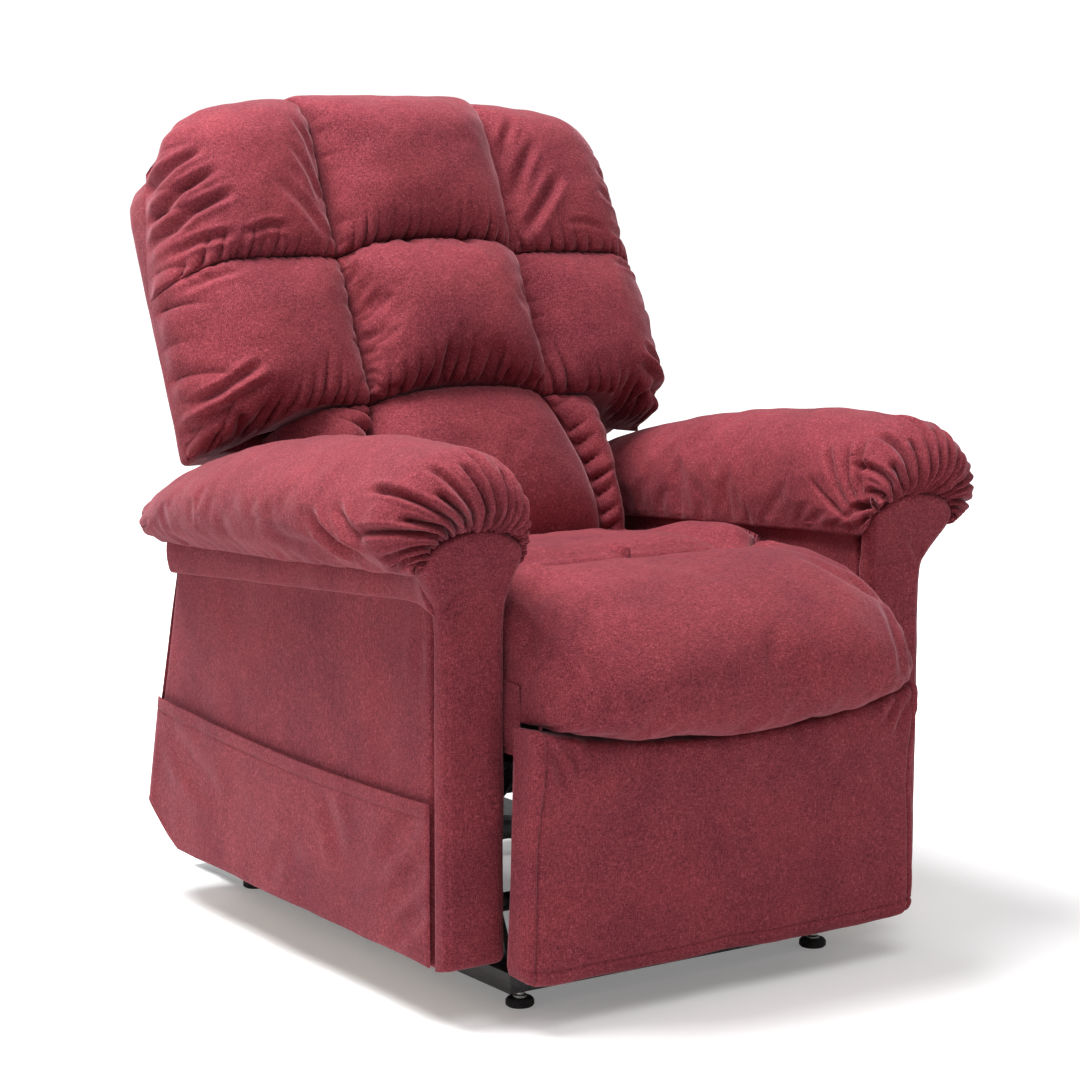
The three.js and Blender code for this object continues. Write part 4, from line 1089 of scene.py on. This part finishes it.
def front_panel(sg, tag):
    """The post with its arched head, padded, with a welted edge."""
    nu, nv = 46, 150
    U, V = np.meshgrid(dense(nu, 0.6), dense(nv, 0.35))
    v, u = (V + 1) / 2, (U + 1) / 2
    arch = spline([(.264, .549), (.2685, .567), (.280, .578), (.297, .5865), (.324, .5915), (.351, .5895), (.377, .581), (.394, .566), (.3985, .549)], 200)
    la = np.linspace(0, 1, 200)
    zs = 0.0705 + (0.549 - 0.0705) * v
    xin = interp(zs, [0.07, 0.30, 0.47, 0.51, 0.535, 0.549], [0.2765, 0.2765, 0.2770, 0.2740, 0.2680, 0.264])
    xout = interp(zs, [0.07, 0.470, 0.490, 0.505, 0.52, 0.535, 0.549], [0.3640, 0.3635, 0.3650, 0.3710, 0.381, 0.3915, 0.3985])
    bx, bz = xin + (xout - xin) * u, zs
    axx, azz = interp(u, la, arch[:, 0]), interp(u, la, arch[:, 1])
    cx = 0.264 + (0.3985 - 0.264) * u
    w = np.clip((v - 0.80) / 0.20, 0, 1) ** 1.3
    x = bx + (axx - cx) * w
    z = bz + (azz - 0.549) * w
    dside = np.minimum(u * (xout - xin), (1 - u) * (xout - xin))
    dtop = (1 - v) * 0.35 * (0.35 + 0 * u)
    dbot = z - 0.0705
    yb = -0.3575 - 0.35 * np.maximum(z - 0.5, 0)
    pad = 0.0165 - 0.012 * ellip(dside, 0.014) - 0.010 * ellip(dbot, 0.012) - 0.007 * ellip((1 - v) * 0.5, 0.012)
    y = yb - pad
    y = y - 0.0016 * noise(np.stack([x, z, z * 0], -1), 0.07, 31 + sg) - 0.0006 * noise(np.stack([x, z, z * 0], -1), 0.03, 33 + sg)
    Q = np.stack([x.ravel(), z.ravel()], -1)
    g = 0
    for p, wd, dep in [([(0.3640, 0.493), (0.348, 0.514), (0.330, 0.532)], 0.005, 0.0050), ([(0.3650, 0.500), (0.355, 0.520), (0.345, 0.530)], 0.004, 0.0030), ([(0.3620, 0.490), (0.345, 0.494), (0.330, 0.493)], 0.004, 0.0028),
                       ([(0.285, 0.420), (0.288, 0.34), (0.286, 0.26)], 0.008, 0.0020)]:
        g = g + crease(Q, p, wd, dep)
    y = y - g.reshape(y.shape)
    # welt along the sides: a slim ridge and a stitched groove inside it
    y = y + 0.0013 * np.exp(-((dside - 0.0065) / 0.0016) ** 2)
    F = np.stack([sg * x, y, z], -1)
    def ring(yy):
        def fn(B):
            C = B.copy()
            C[:, 1] = yy - 0.35 * np.maximum(C[:, 2] - 0.5, 0)
            return C
        return fn
    ob = patch("arm_front_cover_" + tag, F, [ring(-0.3530), ring(-0.3480)])
    subdivide(ob, 1)
    return finish_piece(ob, "chassis", ["arm_front_panel_" + tag])


def inner_panel(sg, tag):
    nu, nv = 110, 60
    U, V = np.meshgrid(dense(nu, 0.4), dense(nv, 0.4))
    v = (V + 1) / 2
    yf = -0.3460
    z = 0.076 + 0.44 * v
    for _ in range(4):
        yr = side_rear(z) - 0.006
        y = yf + (yr - yf) * (U + 1) / 2
        zt = 0.5545 - (y + 0.364) * 0.0430 - 0.012 * sst(0.20, 0.31, y)
        zb = 0.076 + interp(y, [0.29, 0.395], [0.0, 0.046])
        z = zb + (zt - zb) * v
    x = 0.2786 - 0.0 * z - 0.0012 * (1 - U ** 2) + 0.004 * ellip(y - yf, 0.006) + 0.003 * ellip(yr - y, 0.01) + 0.003 * ellip(z - zb, 0.01) + 0.004 * ellip(zt - z, 0.005)
    x = x - 0.0008 * noise(np.stack([y, z, z * 0], -1), 0.08, 35 + sg)
    # above the arm frame the panel leans in under the roll
    x = x - 0.0165 * sst(0.512, 0.550, z)
    F = np.stack([sg * x, y, z], -1)
    def ring(xx):
        def fn(B):
            C = B.copy()
            C[:, 0] = sg * xx
            return C
        return fn
    ob = patch("arm_inner_cover_" + tag, F, [ring(0.2845), ring(0.2883)])
    subdivide(ob, 1)
    return finish_piece(ob, "chassis", ["arm_inner_panel_" + tag])


def arm_rear(sg, tag):
    """Fabric over the rear end of the arm, from the side panel round to the inner one."""
    nu, nv = 30, 90
    U, V = np.meshgrid(dense(nu, 0.5), dense(nv, 0.3))
    z = 0.0800 + (0.5290 - 0.0800) * (V + 1) / 2
    x = 0.3208 + 0.0412 * U
    y = side_rear(z) + 0.0035 - 0.004 * np.abs(U) ** 4 - 0.0010 * noise(np.stack([x, z, z * 0], -1), 0.05, 38 + sg)
    F = np.stack([sg * x, y, z], -1)
    ob = patch("arm_rear_cover_" + tag, F, [lambda B: B - np.array([0, 0.003, 0])])
    subdivide(ob, 1)
    return finish_piece(ob, "chassis")


def seat_flap(sg, tag):
    """Short fabric return under the corner of the seat, between the arm post and the foot panel."""
    nu, nv = 22, 34
    U, V = np.meshgrid(dense(nu, 0.3), dense(nv, 0.3))
    y = -0.3990 + (0.3990 - 0.3480) * (U + 1) / 2
    z = 0.3220 + 0.0012 * noise1(y, 0.02, 66) + (0.4080 - 0.3220) * (V + 1) / 2
    x = 0.2755 + 0.0016 * noise(np.stack([y, z, z * 0], -1), 0.022, 67 + sg) - 0.002 * np.exp(-((z - 0.3275) / 0.0018) ** 2)
    F = np.stack([sg * x, y, z], -1)
    ob = patch("seat_corner_flap_" + tag, F, [lambda B: B - np.array([sg * 0.0022, 0, 0])])
    subdivide(ob, 1)
    return finish_piece(ob, "chassis")


def cord():
    """The hand control's lead: out of its foot, down inside the pocket, under the arm and up to the seat frame."""
    c = spline([(0.3745, -0.060, 0.1980), (0.3745, -0.058, 0.170), (0.3730, -0.050, 0.130), (0.3715, -0.045, 0.098), (0.3660, -0.043, 0.0700), (0.3450, -0.042, 0.0600), (0.3000, -0.040, 0.0600), (0.2640, -0.036, 0.0720), (0.2450, -0.030, 0.1000), (0.2350, -0.024, 0.1250)], 120)
    t = np.gradient(c, axis=0)
    t /= np.linalg.norm(t, axis=1, keepdims=True)
    up = np.array([0.0, 1.0, 0.15])
    a = np.cross(t, up)
    a /= np.linalg.norm(a, axis=1, keepdims=True)
    b = np.cross(t, a)
    th = np.arange(14) / 14 * 2 * PI
    L = c[:, None, :] + 0.0024 * (np.cos(th)[None, :, None] * a[:, None, :] + np.sin(th)[None, :, None] * b[:, None, :])
    ob = tube("hand_control_cord", L)
    return finish_piece(ob, "chassis", mat=CORD)


cord()
for sg, tag in ((1, "left"), (-1, "right")):
    arm_rear(sg, tag)
    seat_flap(sg, tag)
    side_panel(sg, tag)
    band(sg, tag)
    pocket(sg, tag)
    front_panel(sg, tag)
    inner_panel(sg, tag)

# ----------------------------------------------------------------- back shell
def back_shell():
    """The covered board behind the pillows: rounded corners, cut upper corners, a padded rear face with a stitched border."""
    pts = [(0.0, 0.7575), (0.2850, 0.7575), (0.3130, 0.7550), (0.3320, 0.7450), (0.3430, 0.7250), (0.3455, 0.7000), (0.3455, 0.5200), (0.3455, 0.3560), (0.3395, 0.3500), (0.2550, 0.3500), (0.2490, 0.3420), (0.2480, 0.2000), (0.2480, 0.0350), (0.2440, 0.0305), (0.0, 0.0305)]
    P = []
    for a, b in zip(pts[:-1], pts[1:]):
        m = max(2, int(math.hypot(b[0] - a[0], b[1] - a[1]) / 0.007))
        for k in range(m):
            P.append((a[0] + (b[0] - a[0]) * k / m, a[1] + (b[1] - a[1]) * k / m))
    P.append(pts[-1])
    R = np.array(P)
    Lf = R[::-1][1:-1] * np.array([-1, 1])
    out = np.vstack([R, Lf])
    c = np.array([0, 0.42])
    def inset(r, k):
        q = r.copy()
        q[:, 0] -= np.sign(q[:, 0]) * np.minimum(k, np.abs(q[:, 0]))
        q[:, 1] += np.where(q[:, 1] > 0.45, -k, k) * (1 - np.clip(np.abs(q[:, 1] - 0.45) < 0.0, 0, 1))
        return q
    def ins(k):
        # inset along the outline normal
        a = np.roll(out, 1, 0)
        b = np.roll(out, -1, 0)
        t = b - a
        nrm = np.c_[-t[:, 1], t[:, 0]]
        nrm /= np.maximum(np.linalg.norm(nrm, axis=1, keepdims=True), 1e-9)
        mid = out + nrm * 1e-3
        s = -1 if (np.abs(mid[:, 0]).sum() > np.abs(out[:, 0]).sum()) else 1
        q = out + nrm * k * s
        for _ in range(2):
            q = 0.25 * np.roll(q, 1, 0) + 0.5 * q + 0.25 * np.roll(q, -1, 0) if k > 0.01 else q
        return q
    rings = []
    prof = [(0.030, 0.0495), (0.012, 0.0495), (0.003, 0.0480), (0.0, 0.0440), (-0.0005, 0.0300), (-0.0008, 0.0150), (-0.0006, 0.0000), (0.0, -0.0110), (0.0035, -0.0165), (0.010, -0.0185), (0.0180, -0.0190), (0.0200, -0.0172), (0.0225, -0.0190), (0.034, -0.0215), (0.060, -0.0235)]
    loops = []
    for k, n in prof:
        q = ins(k)
        loops.append(back_xyz(q[:, 0], q[:, 1], np.full(len(q), n)))
    ob = tube("back_shell_cover", np.array(loops))
    P3 = co(ob)
    x, s, n = back_loc(P3)
    d = 0.0012 * noise(P3, 0.06, 101) + 0.0005 * noise(P3, 0.025, 102)
    push(ob, d)
    subdivide(ob, 1)
    return finish_piece(ob, "backrest", ["back_shell"])


back_shell()


def painted_shade_cloth():
    """Black cambric across the open rear of the chassis, between the arms: painted shade, a dark sheet that stands in
    for the shadow under the seat.
    """
    nu, nv = 60, 30
    U, V = np.meshgrid(dense(nu, 0.2), dense(nv, 0.2))
    x = 0.2765 * U
    z = 0.0700 + (0.3180 - 0.0700) * (V + 1) / 2 + 0.002 * noise1(x, 0.12, 120) * (V < 0)
    y = 0.3740 + 0.0030 * noise(np.stack([x, z, z * 0], -1), 0.09, 121) + 0.0010 * noise(np.stack([x, z, z * 0], -1), 0.035, 122)
    F = np.stack([x, y, z], -1)
    ob = patch("rear_painted_shade_cloth", F, [lambda B: B + np.array([0, 0.0015, 0]), lambda B: np.c_[B[:, 0], np.full(len(B), 0.3800), B[:, 2]]])
    subdivide(ob, 1)
    return finish_piece(ob, "chassis", mat=SHADE_BLACK)


painted_shade_cloth()

# ----------------------------------------------------------------- floor, light, camera
m, nt, bs = nodes_of("floor_white")
fl = tex(nt, 3, 2, 0.5)
nt.links.new(ramp(nt, fl, [(0.3, grey(0.90)), (0.7, grey(0.93))]), bs.inputs["Base Color"])
bs.inputs["Roughness"].default_value = 0.85
bs.inputs["Specular IOR Level"].default_value = 0.1
bs.inputs["Emission Color"].default_value = (1, 1, 1, 1)
tcf = nt.nodes.new("ShaderNodeTexCoord")
lenn = nt.nodes.new("ShaderNodeVectorMath")
lenn.operation = "LENGTH"
nt.links.new(tcf.outputs["Object"], lenn.inputs[0])
mr = nt.nodes.new("ShaderNodeMapRange")
mr.inputs["From Min"].default_value = 0.75
mr.inputs["From Max"].default_value = 1.9
mr.inputs["To Min"].default_value = 0.20
mr.inputs["To Max"].default_value = 0.9
nt.links.new(lenn.outputs["Value"], mr.inputs["Value"])
lpf = nt.nodes.new("ShaderNodeLightPath")
nt.links.new(math_(nt, "MULTIPLY", mr.outputs[0], lpf.outputs["Is Camera Ray"]), bs.inputs["Emission Strength"])
floor = obj_from("floor", [(-30, -30, 0), (30, -30, 0), (30, 30, 0), (-30, 30, 0)], [(0, 1, 2, 3)])
floor.data.materials.append(m)

w = bpy.data.worlds.new("studio")
SCN.world = w
w.use_nodes = True
nt = w.node_tree
nt.nodes.clear()
o = nt.nodes.new("ShaderNodeOutputWorld")
b1 = nt.nodes.new("ShaderNodeBackground")
b2 = nt.nodes.new("ShaderNodeBackground")
mx = nt.nodes.new("ShaderNodeMixShader")
lp = nt.nodes.new("ShaderNodeLightPath")
b1.inputs[0].default_value = (1, 1, 1, 1)
b1.inputs[1].default_value = 0.33
b2.inputs[0].default_value = (1, 1, 1, 1)
b2.inputs[1].default_value = 1.05
nt.links.new(lp.outputs["Is Camera Ray"], mx.inputs[0])
nt.links.new(b1.outputs[0], mx.inputs[1])
nt.links.new(b2.outputs[0], mx.inputs[2])
nt.links.new(mx.outputs[0], o.inputs[0])


def area(name, loc, target, size, power, col=(1, 1, 1)):
    l = bpy.data.lights.new(name, "AREA")
    l.shape = "DISK"
    l.size = size
    l.energy = power
    l.color = col
    ob = bpy.data.objects.new(name, l)
    ob.location = loc
    ob.rotation_mode = "QUATERNION"
    ob.rotation_quaternion = (Vector(target) - Vector(loc)).to_track_quat("-Z", "Y")
    SCN.collection.objects.link(ob)


area("top", (-1.1, 0.4, 3.4), (0, 0, 0.4), 2.0, 185)
area("left", (-3.6, -0.2, 2.2), (0, 0, 0.5), 2.0, 14)
area("front", (-0.5, -2.4, 3.9), (0, 0, 0.5), 2.2, 54)
area("right", (3.4, -1.2, 2.4), (0, 0, 0.6), 1.8, 8)
area("rear", (0.5, 3.6, 2.6), (0, 0, 0.6), 2.4, 30)

cam = bpy.data.cameras.new("camera")
cam.lens = 90.62
cam.sensor_width = 36
cam.shift_x = -(540.45 - 540) / 1080 * 0
cam.shift_y = -0.0023
cob = bpy.data.objects.new("camera", cam)
SCN.collection.objects.link(cob)
cob.location = (-1.98623, -2.96354, 0.98734)
cob.rotation_mode = "QUATERNION"
cob.rotation_quaternion = (Vector((0.0132, -0.0145, 0.5153)) - Vector(cob.location)).to_track_quat("-Z", "Y")
cam.clip_start, cam.clip_end = 0.05, 100
SCN.camera = cob
SCN.view_settings.view_transform = "Standard"
SCN.view_settings.look = "None"
